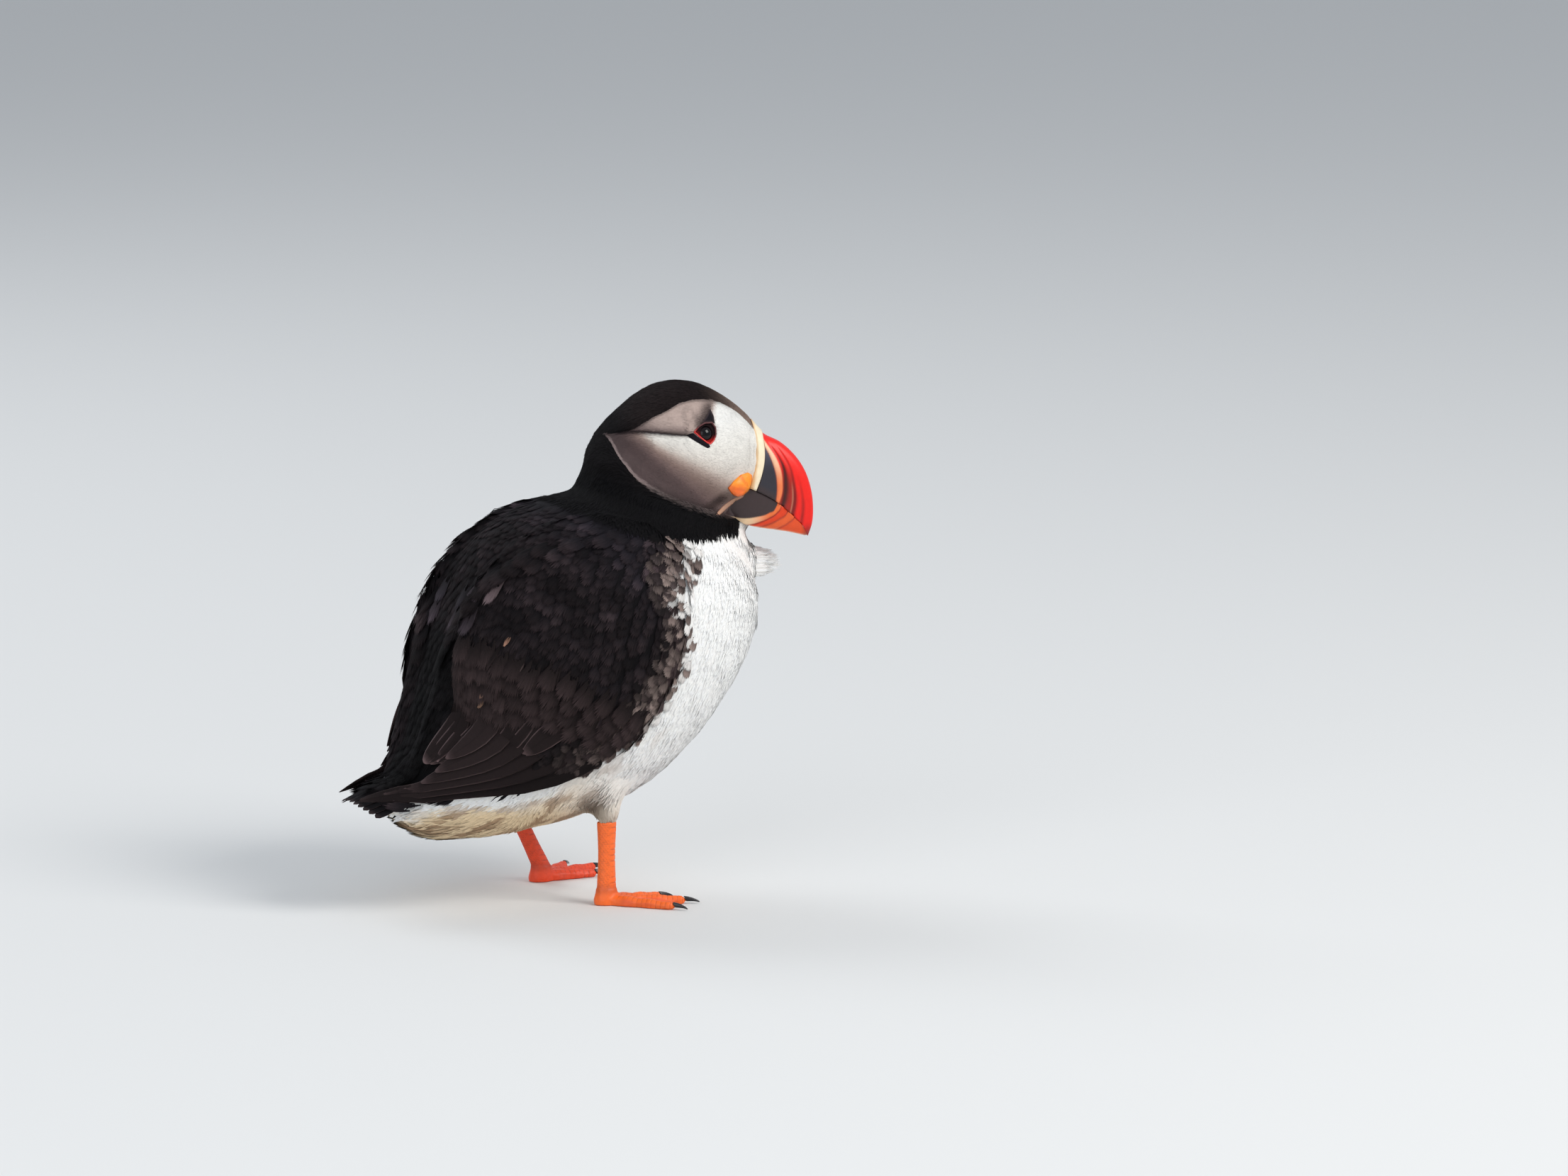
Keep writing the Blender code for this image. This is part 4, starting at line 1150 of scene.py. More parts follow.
@dataclass(frozen=True)
class Tuft:
    """One kind of small tuft.

    Lengths are millimetres and angles degrees; a share of 0.2 varies them by a fifth.
    """

    length: float
    half: float
    thick: float
    lift: float = 14.0
    curl: float = 10.0
    bury: float = 0.25
    rings: int = 2
    vary: float = 0.22
    stray: float = 10.0
    shade: float = 0.10
    root: float = 0.78  # how dark its root is
    soft: float = 0.6  # how far it shades like the skin under it

    def grow(
        self,
        coat: Coat,
        points: Array,
        normals: Array,
        ways: Array,
        colours: Array,
        rng: Random,
        size: Array | float = 1.0,
    ) -> None:
        """Grows a tuft at each place.

        Args:
            coat: Takes them.
            points: Their roots on the skin.
            normals: The skin's normals there.
            ways: The way that each lies.
            colours: The colour of each.
            rng: Random numbers.
            size: Times each one's length and width.
        """
        count = len(points)
        size = np.broadcast_to(size, count) * vary(rng, self.vary, count)
        turn = np.radians(self.stray) * rng.normal(0, 1, count)
        sides = np.cross(normals, ways)
        ways = ways * np.cos(turn)[:, None] + sides * np.sin(turn)[:, None]
        lift = np.radians(self.lift * (1 + 0.35 * rng.normal(0, 1, count)))
        s = np.linspace(0, 1, self.rings + 1) ** 0.9
        forward = self.length * size[:, None] * s
        rise = np.sin(lift)[:, None] * s - 0.5 * math.radians(self.curl) * s**2
        rise = self.length * size[:, None] * rise
        spines = points[:, None] - normals[:, None] * self.bury
        spines = spines + ways[:, None] * forward[..., None] + normals[:, None] * rise[..., None]
        ups = np.repeat(normals[:, None], self.rings + 1, 1)
        profile = along_rows(((0.0, 0.55), (0.35, 1.0), (0.7, 0.8), (1.0, 0.0)), s[:-1])
        halves = self.half * size[:, None] * profile
        thick = np.full_like(halves, self.thick) * (1 - 0.5 * s[:-1])
        around = len(Section.SPIKE.value)
        ramp = np.r_[np.repeat(self.root + (1.08 - self.root) * s[:-1], around), 1.10]
        each = 1 + self.shade * rng.normal(0, 1, count)
        tints = np.clip(colours[:, None] * ramp[None, :, None] * each[:, None, None], 0.0, 0.95)
        coat.add(spines, ups, halves, thick, Section.SPIKE, tints, soft=self.soft)


@dataclass
class Bed:
    """Where a row of larger feathers lies, and in which colours."""

    spines: Array  # places on the skin from each root to its tip: (many, stations + 1, 3)
    normals: Array  # the skin's normals there
    halves: Array  # half of each one's width
    colours: Array
    edges: Array  # the colour of each one's edges and end
    raised: Array | float = 0.0  # more height for each


@dataclass(frozen=True)
class Vane:
    """One kind of flat, shafted feather with a rounded end."""

    thick: float = 0.35
    lift: float = 1.5  # how far its end stands off the skin
    base: float = -0.3
    point: float = 0.0  # 0 gives a round end, 1 a pointed one
    fringe: float = 0.7  # how much of the edge's colour the edges take
    shade: float = 0.10
    stations: tuple = (0.0, 0.1, 0.22, 0.35, 0.48, 0.6, 0.72, 0.82, 0.9, 0.95, 0.985)

    def width(self, s: Array) -> Array:
        """Half the width along the vane, as a share of its widest."""
        full = along_rows(((0.0, 0.35), (0.2, 0.8), (0.45, 1.0), (0.7, 1.0), (1.0, 0.92)), s)
        end = np.sqrt(np.clip(1 - np.clip((s - 0.62) / 0.38, 0, 1) ** 2, 0, 1))
        taper = 1 - np.clip((s - 0.3) / 0.7, 0, 1) ** 1.4
        return full * (end * (1 - self.point) + taper * self.point)

    def lay(self, coat: Coat, bed: Bed, rng: Random) -> None:
        """Lays a vane along each spine.

        Args:
            coat: Takes them.
            bed: Where they lie.
            rng: Random numbers.
        """
        count = len(bed.spines)
        s = np.r_[self.stations, 1.0]
        height = self.base + (self.lift - self.base) * s**0.8
        height = height[None] * vary(rng, 0.03, (count, 1)) + np.reshape(bed.raised, (-1, 1))
        spines = bed.spines + bed.normals * height[..., None]
        profile = self.width(s[:-1])
        shape = np.array(Section.VANE.value)
        around = len(shape)
        edge = np.abs(shape[:, 0]) > 0.95
        share = np.zeros((len(s) - 1, around))
        share[:, edge] = self.fringe * step(0.35, 0.65, s[:-1])[:, None]
        share = np.maximum(share, self.fringe * step(0.93, 0.99, s[:-1])[:, None])
        share = np.r_[share.ravel(), self.fringe]
        ramp = np.r_[np.repeat(0.72 + 0.36 * s[:-1], around), 1.08]
        shaft = np.r_[np.tile(np.where(np.abs(shape[:, 0]) < 0.05, 0.8, 1.0), len(s) - 1), 1.0]
        each = 1 + self.shade * rng.normal(0, 1, count)
        tints = bed.colours[:, None] * (ramp * shaft)[None, :, None] * each[:, None, None]
        tints = tints + (bed.edges[:, None] * each[:, None, None] - tints) * share[None, :, None]
        wide = bed.halves[:, None] * profile[None]
        thick = np.broadcast_to(self.thick * (1 - 0.4 * s[:-1]), wide.shape)
        coat.add(spines, bed.normals, wide, thick, Section.VANE, np.clip(tints, 0.0, 0.95))


@dataclass(frozen=True)
class Fan:
    """One kind of soft feather, drawn as thin barbs that fan out to a ragged round end."""

    half: float
    lift: float = 1.3
    base: float = -0.2
    barbs: int = 26
    barb: float = 0.25  # half a barb's width
    thick: float = 0.05
    blunt: float = 0.42
    spread: float = 1.3
    dark: float = 0.5  # the root's colour, as a share
    shade: float = 0.2
    soft: float = 0.7  # how far its barbs shade as one rounded form
    stations: tuple = (0.0, 0.25, 0.5, 0.75)

    def lay(self, coat: Coat, bed: Bed, rng: Random) -> None:
        """Lays a feather along each spine.

        Args:
            coat: Takes them.
            bed: Where they lie.
            rng: Random numbers.
        """
        spines, normals, halves = bed.spines, bed.normals, bed.halves
        count, shape = len(spines), (len(spines), self.barbs)
        turn = self.spread * (np.linspace(-1, 1, self.barbs) + rng.normal(0, 1.2 / self.barbs, shape))
        end = (1 - self.blunt * (1 - np.cos(turn))) * (1 + 0.04 * rng.normal(0, 1, shape))
        start = np.clip(end - 0.55 + 0.12 * rng.uniform(-1, 1, shape), 0.0, 1.0)
        t = np.array([0.0, 0.62, 1.0])
        along = start[..., None] + (end - start)[..., None] * t
        out = (halves[:, None] * np.sin(turn) / math.sin(self.spread))[..., None] * (0.45 + 0.55 * t)
        steps = len(self.stations)
        k = np.clip(np.floor(along * steps).astype(int), 0, steps - 1)
        share = along * steps - k
        row = np.arange(count)[:, None, None]
        place = mix(spines[row, k], spines[row, k + 1], share)
        up = unit(mix(normals[row, k], normals[row, k + 1], share))
        side = np.cross(unit(spines[row, k + 1] - spines[row, k]), up)
        height = self.base + (self.lift - self.base) * np.clip(along, 0, 1)
        height = height * vary(rng, 0.15, (count, 1, 1)) + 0.05 * rng.uniform(-1, 1, (*shape, 1)) * t
        height = height + np.reshape(bed.raised, (-1, 1, 1)) - out**2 / 40.0
        place = place + side * out[..., None] + up * height[..., None]
        each = np.exp(self.shade * rng.normal(0, 1, (count, 1, 1, 1)))
        each = each * (1 + 0.1 * rng.normal(0, 1, (*shape, 1, 1)))
        tints = bed.colours[:, None, None] * (self.dark + (1 - self.dark) * step(0.1, 0.8, along))[..., None]
        tints = mix(tints, bed.edges[:, None, None], step(0.5, 1.0, along)) * each
        around = len(Section.SPIKE.value)
        tints = np.concatenate([np.repeat(tints[:, :, :2], around, 2), tints[:, :, 2:]], 2)
        many = count * self.barbs
        wide = np.broadcast_to(self.barb * np.array([0.75, 1.0]), (many, 2))
        flat = np.broadcast_to(self.thick * np.array([1.0, 0.8]), (many, 2))
        way = np.cross(up, side)
        round_off = np.clip(out / halves[:, None, None], -1, 1)[..., None]
        facing = up + side * round_off * 0.5 + way * (0.35 * step(0.5, 1.05, along))[..., None]
        coat.add(place.reshape(many, 3, 3), up.reshape(many, 3, 3), wide, flat, Section.SPIKE,
                 np.clip(tints.reshape(many, -1, 3), 0.0, 0.95), facing.reshape(many, 3, 3), self.soft)


# ---- the coats ------------------------------------------------------------------------


def ragged(points: Array, size: float) -> Array:
    """A wandering distance that makes the edge between two colours uneven."""
    x, y, z = points[..., 0], points[..., 1], points[..., 2]
    wave = np.sin(1.9 * x + 1.3 * y) + np.sin(2.3 * z - 1.1 * y + 0.7) + np.sin(1.4 * x - 1.7 * z + 1.9)
    return size * wave / 3


def held_out(cover: Cover, found: tuple[Array, Array]) -> tuple[Array, Array]:
    """The places that aren't under a bare piece."""
    points, normals = found
    ahead, up = side_view(points)
    clear = cover.clear(points, normals) & (Skin.bill_base(points) < 0.1)
    for outline in (Eye.outline, Plates.upper, Plates.lower, Rosette.outline, Rosette.strip):
        clear &= ~within(outline, ahead, up)
    for outline in (Eye.outline, Plates.lower):
        clear &= inside_by(outline, ahead - 0.9, up) < -0.3
    return points[clear], normals[clear]


@dataclass
class HeadCoat:
    """The short, close plumage of the head: two white faces, and the dark crown and chin."""

    face_tuft: Tuft = Tuft(1.8, 0.22, 0.02, lift=2.0, curl=1.0, bury=-0.05, stray=5.0, shade=0.025, root=1.0,
                           soft=0.92)
    crown_tuft: Tuft = Tuft(2.0, 0.17, 0.05, lift=6.0, curl=4.0, bury=-0.02, stray=6.0, shade=0.14)
    face_gap: float = 0.30
    crown_gap: float = 0.37

    @staticmethod
    def is_face(points: Array) -> Array:
        """Which places are white face."""
        return (over_neck(points) > -1.5) & (PLUMAGE.in_face(points) + ragged(points, 0.15) > 0)

    def is_crown(self, points: Array) -> Array:
        """Which places are dark crown or chin."""
        return (over_neck(points) > -1.5) & ~self.is_face(points)

    def build(self, skin: Skin, cover: Cover, finish: Material) -> None:
        """Grows the head's coats."""
        parts = (
            ("face_feathers_left", lambda p: self.is_face(p) & (p[:, 1] > 0), True, 11),
            ("face_feathers_right", lambda p: self.is_face(p) & (p[:, 1] <= 0), True, 12),
            ("crown_feathers", self.is_crown, False, 13),
        )
        for name, keep, face, seed in parts:
            rng = np.random.default_rng(seed)
            gap, tuft = (self.face_gap, self.face_tuft) if face else (self.crown_gap, self.crown_tuft)
            points, normals = held_out(cover, skin.scatter(keep, gap, seed))
            inside = PLUMAGE.in_face(points)
            size = 0.72 + 0.42 * step(26.0, -8.0, head_frame(points)[:, 0])
            size = size * (0.62 + 0.38 * step(0.0, 2.0, np.abs(inside)))
            colours = PLUMAGE.at(points)
            if face:
                colours = np.where((inside > 0)[:, None], colours, PLUMAGE.rim * 0.8)
            coat = Coat(name, finish, "white_plumage" if face else "black_plumage", around_head)
            tuft.grow(coat, points, normals, lie(points, normals), colours, rng, size)
            coat.build(("face_left", "face_right") if name == "face_feathers_left" else ())


@dataclass
class BodyCoat:
    """The collar, and the soft white of breast, belly, thighs and under the tail."""

    collar_tuft: Tuft = Tuft(3.4, 0.26, 0.07, lift=6.0, curl=5.0, bury=0.0, shade=0.14)
    white_tuft: Tuft = Tuft(5.0, 0.62, 0.04, lift=2.0, curl=1.0, bury=-0.05, stray=6.0, shade=0.02, root=1.0,
                            soft=0.92)
    lock: Fan = Fan(3.0, lift=0.6, base=0.0, barbs=44, barb=0.3, thick=0.1, blunt=0.3, dark=0.97, shade=0.02,
                    soft=0.4)
    collar_gap: float = 0.52
    white_gap: float = 0.60

    def is_collar(self, points: Array) -> Array:
        """Which places are black neck."""
        return (over_neck(points) <= 0) & (PLUMAGE.over_collar(points) + ragged(points, 1.0) > 0)

    def is_white(self, points: Array) -> Array:
        """Which places are white body."""
        below = (over_neck(points) <= 0) & ~self.is_collar(points)
        return below & (PLUMAGE.over_wing_line(points) + ragged(points, 1.0) <= 0)

    def build(self, skin: Skin, cover: Cover, finish: Material) -> None:
        """Grows the body's soft coats."""
        rng = np.random.default_rng(21)
        coat = Coat("collar_feathers", finish, "black_plumage", around_neck)
        points, normals = held_out(cover, skin.scatter(self.is_collar, self.collar_gap, 22))
        self.collar_tuft.grow(coat, points, normals, lie(points, normals), PLUMAGE.at(points), rng)
        coat.build()
        points, normals = skin.scatter(self.is_white, self.white_gap, 23)
        along = trunk_frame(points)[:, 0]
        size = 0.8 + 0.35 * step(50.0, -40.0, along) + 0.5 * step(-55.0, -80.0, along)
        low = step(44.0, 34.0, points[:, 2]) * step(-30.0, -22.0, points[:, 0])
        size = size - 0.35 * low - 0.4 * low * step(-0.35, -0.75, normals[:, 2])
        colours = PLUMAGE.at(points)
        ways = lie(points, normals)
        for name, part in (
            ("breast_feathers", along > 12.0),
            ("belly_feathers_left", (along <= 12.0) & (points[:, 1] > 0)),
            ("belly_feathers_right", (along <= 12.0) & (points[:, 1] <= 0)),
        ):
            coat = Coat(name, finish, "white_plumage", around_trunk)
            own = (whole[part] for whole in (points, normals, ways, colours))
            self.white_tuft.grow(coat, *own, rng, size[part])
            if name == "breast_feathers":
                self._lock(coat, rng)
            coat.build()

    def _lock(self, coat: Coat, rng: Random) -> None:
        """The loose lock of long white feathers that sticks out of the breast."""
        root, tip = np.array([64.0, -6.0, 124.5]), np.array([83.0, -7.5, 122.0])
        way = unit(tip - root)
        count = 22
        high, wide = rng.uniform(-4.5, 3.5, count), rng.uniform(-2.6, 2.6, count)
        across = unit(np.cross(way, (0.0, 0.0, 1.0)))
        points = root + np.outer(wide, across) + np.outer(high, (0.05, 0.0, 1.0))
        points = points - np.outer(rng.uniform(0, 6, count), way)
        aim = tip + np.outer(high * 0.55, (0.0, 0.0, 1.0)) + np.outer(wide * 0.4, across)
        run = np.linspace(0, 18, 5)[None, :, None] * vary(rng, 0.12, (count, 1, 1))
        spines = points[:, None] + unit(aim - points)[:, None] * run
        normals = np.broadcast_to(across, spines.shape)
        white = np.tile(PLUMAGE.white, (count, 1))
        self.lock.lay(coat, Bed(spines, normals, np.full(count, self.lock.half), white, white), rng)


# along, angle of the folded wing's lower edge from the back line, and of its upper edge
WING_EDGES = (
    (60, 72, 54), (57, 76, 50), (50, 86, 34), (36, 97, 26), (18, 105, 22), (0, 111, 21), (-18, 112, 24),
    (-32, 107, 31), (-43, 100, 40), (-52, 92, 40), (-62, 78, 35), (-72, 60, 27), (-80, 44, 18),
    (-88, 31, 13), (-92, 24, 14),
)
# along, and how far the folded wing's outer face stands off the trunk
WING_PROUD = ((60, 1), (50, 4.6), (36, 6.2), (0, 6.2), (-32, 4.8), (-52, 3.2), (-72, 2.8), (-92, 1.6))


@dataclass
class Chart:
    """The upper side laid out as along and angle, on one side of the bird."""

    skin: Skin
    side: int

    def place(self, along: Array, angle: Array) -> tuple[Array, Array]:
        """Places on the skin, or behind its end on the trunk's form, and the normals there."""
        shape = along.shape
        along, angle = along.ravel(), angle.ravel()
        starts, ends = on_trunk(along, angle, 24.0, self.side), on_trunk(along, angle, -14.0, self.side)
        places, normals = self.skin.drape(starts, ends)
        form, out = self.off_form(along, angle, np.full(len(along), -1.6))
        behind = step(-70.0, -78.0, along)
        places = mix(places, form, behind)
        normals = unit(mix(normals, out, behind))
        return places.reshape(*shape, 3), normals.reshape(*shape, 3)

    def off_form(self, along: Array, angle: Array, lift: Array) -> tuple[Array, Array]:
        """Places a given way off the trunk's form, and the normals there."""
        place = on_trunk(along, angle, lift, self.side)
        return place, unit(on_trunk(along, angle, lift + 2.0, self.side) - place)

    @staticmethod
    def in_wing(along: Array, share: Array) -> Array:
        """The angle of a place on the wing, by its share of the way from the upper edge to the lower."""
        low, up = np.moveaxis(along_rows(WING_EDGES, along), -1, 0)
        return up + (low - up) * share


@dataclass
class UpperCoat:
    """The black upper side: scalloped back and coverts, scapulars, and the folded flight feathers."""

    small: Fan = Fan(2.8, lift=0.75)
    scapular: Fan = Fan(3.9, lift=2.0, barbs=44, barb=0.27)
    covert: Fan = Fan(4.0, lift=1.7, barbs=46, barb=0.3, dark=0.5, blunt=0.36, shade=0.14)
    # share of the way across the wing, and how far along the soft coverts end there
    covert_end: tuple = (
        (-0.1, -44), (0.18, -42), (0.41, -38.8), (0.63, -32), (0.75, -29), (0.88, -26), (1, -22),
    )
    # the same, for the ends of the secondaries
    quill_end: tuple = (
        (0, -65), (0.2, -62.5), (0.44, -57), (0.56, -49.7), (0.74, -40.1), (0.82, -28), (1, -16),
    )
    flight: Vane = Vane(thick=0.26)
    border: Fan = Fan(2.3, lift=1.2, base=0.3, barbs=26, barb=0.22, dark=0.85, blunt=0.35, shade=0.12)
    # along, angle, length, half width and colour of the paler feathers among the rest: the first five, grey,
    # are painted highlights of the back's sheen, and the rest tan slivers
    pale: tuple = (
        (2, 25, 13, 3.2, (92, 80, 88)), (6, 33, 12, 2.8, (108, 92, 94)), (-8, 12, 12, 3.4, (74, 64, 70)),
        (-8, 27, 12, 3.2, (80, 70, 76)), (0, 12, 12, 3.2, (62, 56, 62)),
        (-10.6, 51.5, 4.4, 0.7, (150, 112, 94)), (-30.8, 51, 4, 0.8, (134, 102, 88)),
        (-33.6, 52.5, 4.4, 0.9, (134, 104, 86)), (-16, 60, 4, 0.8, (96, 80, 78)),
    )
    # each row's angle, and where along it starts and stops, with its count
    scapular_rows: tuple = (
        (46, 46, 22, 4), (38, 36, 14, 5), (31, 24, 4, 5), (25, 12, -8, 5), (21, 0, -20, 5),
    )
    row_gap: float = 3.7
    across_gap: float = 4.1

    def build(self, skin: Skin, finish: Material) -> None:
        """Lays the upper side's feathers, left and right."""
        for name, side in SIDES.items():
            chart = Chart(skin, side)
            rng = np.random.default_rng(40 + side)
            back = Coat(f"back_feathers_{name}", finish, "black_plumage", around_trunk)
            self._rows(back, chart, rng)
            self._scapulars(back, chart, rng)
            self._pale(back, chart, rng)
            back.build(("mantle", f"wing_{name}"))
            border = Coat(f"border_feathers_{name}", finish, "black_plumage", around_trunk)
            self._border(border, skin, side, rng)
            border.build()
            quills = Coat(f"flight_feathers_{name}", finish, "flight_feathers", around_trunk)
            self._coverts(quills, chart, rng)
            self._secondaries(quills, chart, rng)
            self._primaries(quills, chart, rng)
            quills.build((f"wing_tip_{name}",))

    def _lay(
        self,
        vane: Fan,
        coat: Coat,
        chart: Chart,
        along: Array,
        angle: Array,
        length: Array,
        toward: Array,
        half: Array,
        rng: Random,
        fringe: float = 0.35,
        raised: Array | float = 0.0,
    ) -> None:
        """Lays one soft feather from each root, over the skin.

        Args:
            vane: Its kind.
            coat: Takes them.
            chart: The side.
            along: Each root's place along.
            angle: Its angle.
            length: Each one's length.
            toward: How far each one's angle has changed by its tip.
            half: Half of each one's width.
            rng: Random numbers.
            fringe: How much of the rusty edge's colour the edges have.
            raised: More height for each.
        """
        s = np.r_[vane.stations, 1.0]
        a = along[:, None] - length[:, None] * s
        t = angle[:, None] + toward[:, None] * s
        places, normals = chart.place(a, t)
        colours = PLUMAGE.at(places[:, 1])
        light = np.clip(colours.mean(1) / PLUMAGE.back.mean(), 0, 1) ** 2
        edges = mix(colours, np.broadcast_to(PLUMAGE.rusty, colours.shape), 0.7 * fringe * light)
        clump = np.exp(0.55 * ragged(places[:, 2] * 0.22, 1.5))[:, None]
        vane.lay(coat, Bed(places, normals, half, colours * clump**0.5, edges * clump, raised), rng)

    def _rows(self, coat: Coat, chart: Chart, rng: Random) -> None:
        """The back and the lesser coverts, in rows each half a feather off the last."""
        alongs, angles = [], []
        along, odd = 76.0, 0
        while along > -82.0:
            back, belly, half = along_rows(TRUNK, np.array([along]))[0]
            radius = max(8.0, ((back - belly) / 2 + half) / 2 + 2.0)
            gap = math.degrees(self.across_gap / radius)
            turn = np.arange(gap * (0.25 + 0.5 * odd), 125.0, gap)
            turn = turn + rng.normal(0, 0.10 * gap, len(turn))
            alongs.append(np.full(len(turn), along) + rng.normal(0, 0.45, len(turn)))
            angles.append(turn)
            small = 0.82 if along > 20 else 1.0
            along -= self.row_gap * small
            odd = 1 - odd
        along, angle = np.concatenate(alongs), np.concatenate(angles)
        share = self._share(along, angle)
        places, _ = chart.place(along, angle)
        over = PLUMAGE.over_wing_line(places) + ragged(places, 1.2)
        plane = over_neck(places)
        keep = (over > 0) & (PLUMAGE.over_collar(places) < 1.5) & (plane < -4)
        keep &= ~((along - 8.5 < along_rows(self.covert_end, share)) & (share > -0.02) & (share < 1.1))
        along, angle, share = along[keep], angle[keep], share[keep]
        low_after = Chart.in_wing(along - 9.0, share)
        on_wing = step(-0.05, 0.12, share)
        toward = (low_after - Chart.in_wing(along, share)) * on_wing * 0.8
        size = 0.86 + 0.22 * step(40.0, -10.0, along) - 0.35 * step(-64.0, -80.0, along)
        size = size * vary(rng, 0.08, len(along))
        half = self.small.half * size
        self._lay(self.small, coat, chart, along, angle, 10.0 * size, toward, half, rng, 0.30)

    def _border(self, coat: Coat, skin: Skin, side: int, rng: Random) -> None:
        """The mottled tufts where the dark upper side meets the white."""

        def keep(points: Array) -> Array:
            """Which places lie along the border, on this side."""
            over = PLUMAGE.over_wing_line(points) + ragged(points * 0.5, 2.5)
            below = over_neck(points) < -6
            along = trunk_frame(points)[:, 0] + ragged(points, 2.0)
            near = (over > -3.0 - 5.0 * step(28.0, 42.0, along)) & (over < 13.0) & (along > -38.0)
            return near & below & (points[:, 1] * side > 0) & (PLUMAGE.over_collar(points) < 0)

        points, normals = skin.scatter(keep, 2.0, 45 + side)
        count = len(points)
        ways = lie(points, normals)
        turn = 0.25 * rng.normal(0, 1, count)[:, None]
        ways = unit(ways + np.cross(normals, ways) * turn)
        run = (6.2 * vary(rng, 0.2, count))[:, None, None] * np.linspace(0, 1, 5)[None, :, None]
        spines = points[:, None] + ways[:, None] * run - normals[:, None] * run**2 / 90.0
        tips = PLUMAGE.mottle(points)
        along = trunk_frame(points)[:, 0]
        white = step(2.5, -3.0, PLUMAGE.over_wing_line(points))
        white = white * (rng.uniform(0, 1, count) < 0.6) * (along > -12)
        tips = mix(tips, PLUMAGE.white, 0.8 * white)
        ups = np.repeat(normals[:, None], 5, 1)
        halves = self.border.half * vary(rng, 0.2, count)
        roots = tips * (0.4 + (1.0 - 0.4) * white[:, None])
        self.border.lay(coat, Bed(spines, ups, halves, roots, tips), rng)

    def _pale(self, coat: Coat, chart: Chart, rng: Random) -> None:
        """The few paler feathers: grey ones that are painted highlights of the back's sheen, and some worn
        to tan slivers.
        """
        for along, angle, length, half, colour in self.pale:
            s = np.linspace(0, 1, 5)[None]
            places, normals = chart.place(along - length * s, np.full_like(s, angle) + rng.normal(0, 1.0))
            tips = tone(*colour)[None]
            fan = Fan(half, lift=1.7, base=1.0, barbs=int(10 + 10 * half))
            fan.lay(coat, Bed(places, normals, np.array([half]), tips * 0.45, tips), rng)

    @staticmethod
    def _share(along: Array, angle: Array) -> Array:
        """The share of the way across the wing, from its upper edge to its lower."""
        low, up = np.moveaxis(along_rows(WING_EDGES, along), -1, 0)
        share = (angle - up) / (low - up)
        return np.where(along > 59.0, -1.0, share)

    def _scapulars(self, coat: Coat, chart: Chart, rng: Random) -> None:
        """The larger, paler-edged feathers over the wing's root."""
        for row, (middle, start, stop, count) in enumerate(self.scapular_rows):
            along = np.linspace(start, stop, count) + rng.normal(0, 0.6, count)
            angle = np.full(count, middle) + np.linspace(5, -5, count) + rng.normal(0, 1.2, count)
            size = 0.8 + 0.08 * row + 0.05 * rng.uniform(-1, 1, count)
            toward = np.full(count, -2.0)
            half = self.scapular.half * size
            deep = 14.0 * size
            self._lay(self.scapular, coat, chart, along, angle, deep, toward, half, rng, 0.45, 0.12 * row)

    def _fan(
        self,
        coat: Coat,
        chart: Chart,
        rng: Random,
        vane: Vane,
        roots: Array,
        tips: Array,
        shares: Array,
        end_shares: Array,
        halves: Array,
        fringe: float,
        raised: Array | float,
    ) -> None:
        """Lays long vanes that follow the wing's own edges.

        Args:
            coat: Takes them.
            chart: The side.
            rng: Random numbers.
            vane: Their kind.
            roots: Each root's place along the wing.
            tips: Each tip's.
            shares: Each root's share of the way from the wing's upper edge to its lower one.
            end_shares: Each tip's share.
            halves: Half of each one's width.
            fringe: How bright the edges are, as a share of the rusty colour.
            raised: More height for each.
        """
        s = np.r_[vane.stations, 1.0]
        along = roots[:, None] + (tips - roots)[:, None] * s
        share = shares[:, None] + (end_shares - shares)[:, None] * s
        places, normals = chart.place(along, Chart.in_wing(along, share))
        colours = np.tile(PLUMAGE.rusty * (0.22 if fringe > 1 else 0.2), (len(roots), 1))
        edges = np.tile(PLUMAGE.rusty * fringe, (len(roots), 1))
        vane.lay(coat, Bed(places, normals, halves, colours, edges, raised), rng)

    def _coverts(self, coat: Coat, chart: Chart, rng: Random) -> None:
        """The greater coverts, in rows that lap the secondaries."""
        for row in range(4):
            count = 11 + row % 2
            shares = np.linspace(0.06, 0.92, count)
            tips = along_rows(self.covert_end, shares) + 4.6 * row + rng.normal(0, 0.6, count)
            halves = np.full(count, self.covert.half)
            raised = 0.2 + 0.15 * row
            self._fan(coat, chart, rng, self.covert, tips + 13.0, tips, shares, shares, halves, 0.6, raised)

    def _secondaries(self, coat: Coat, chart: Chart, rng: Random) -> None:
        """The secondaries, whose ends show behind the greater coverts."""
        count = 9
        shares = np.linspace(0.72, 0.06, count)
        tips = along_rows(self.quill_end, shares) + rng.normal(0, 0.4, count)
        raised = np.linspace(0.0, 0.7, count)
        halves = np.full(count, 4.6)
        roots = tips + 32.0
        self._fan(coat, chart, rng, self.flight, roots, tips, shares, shares * 0.94, halves, 3.0, raised)

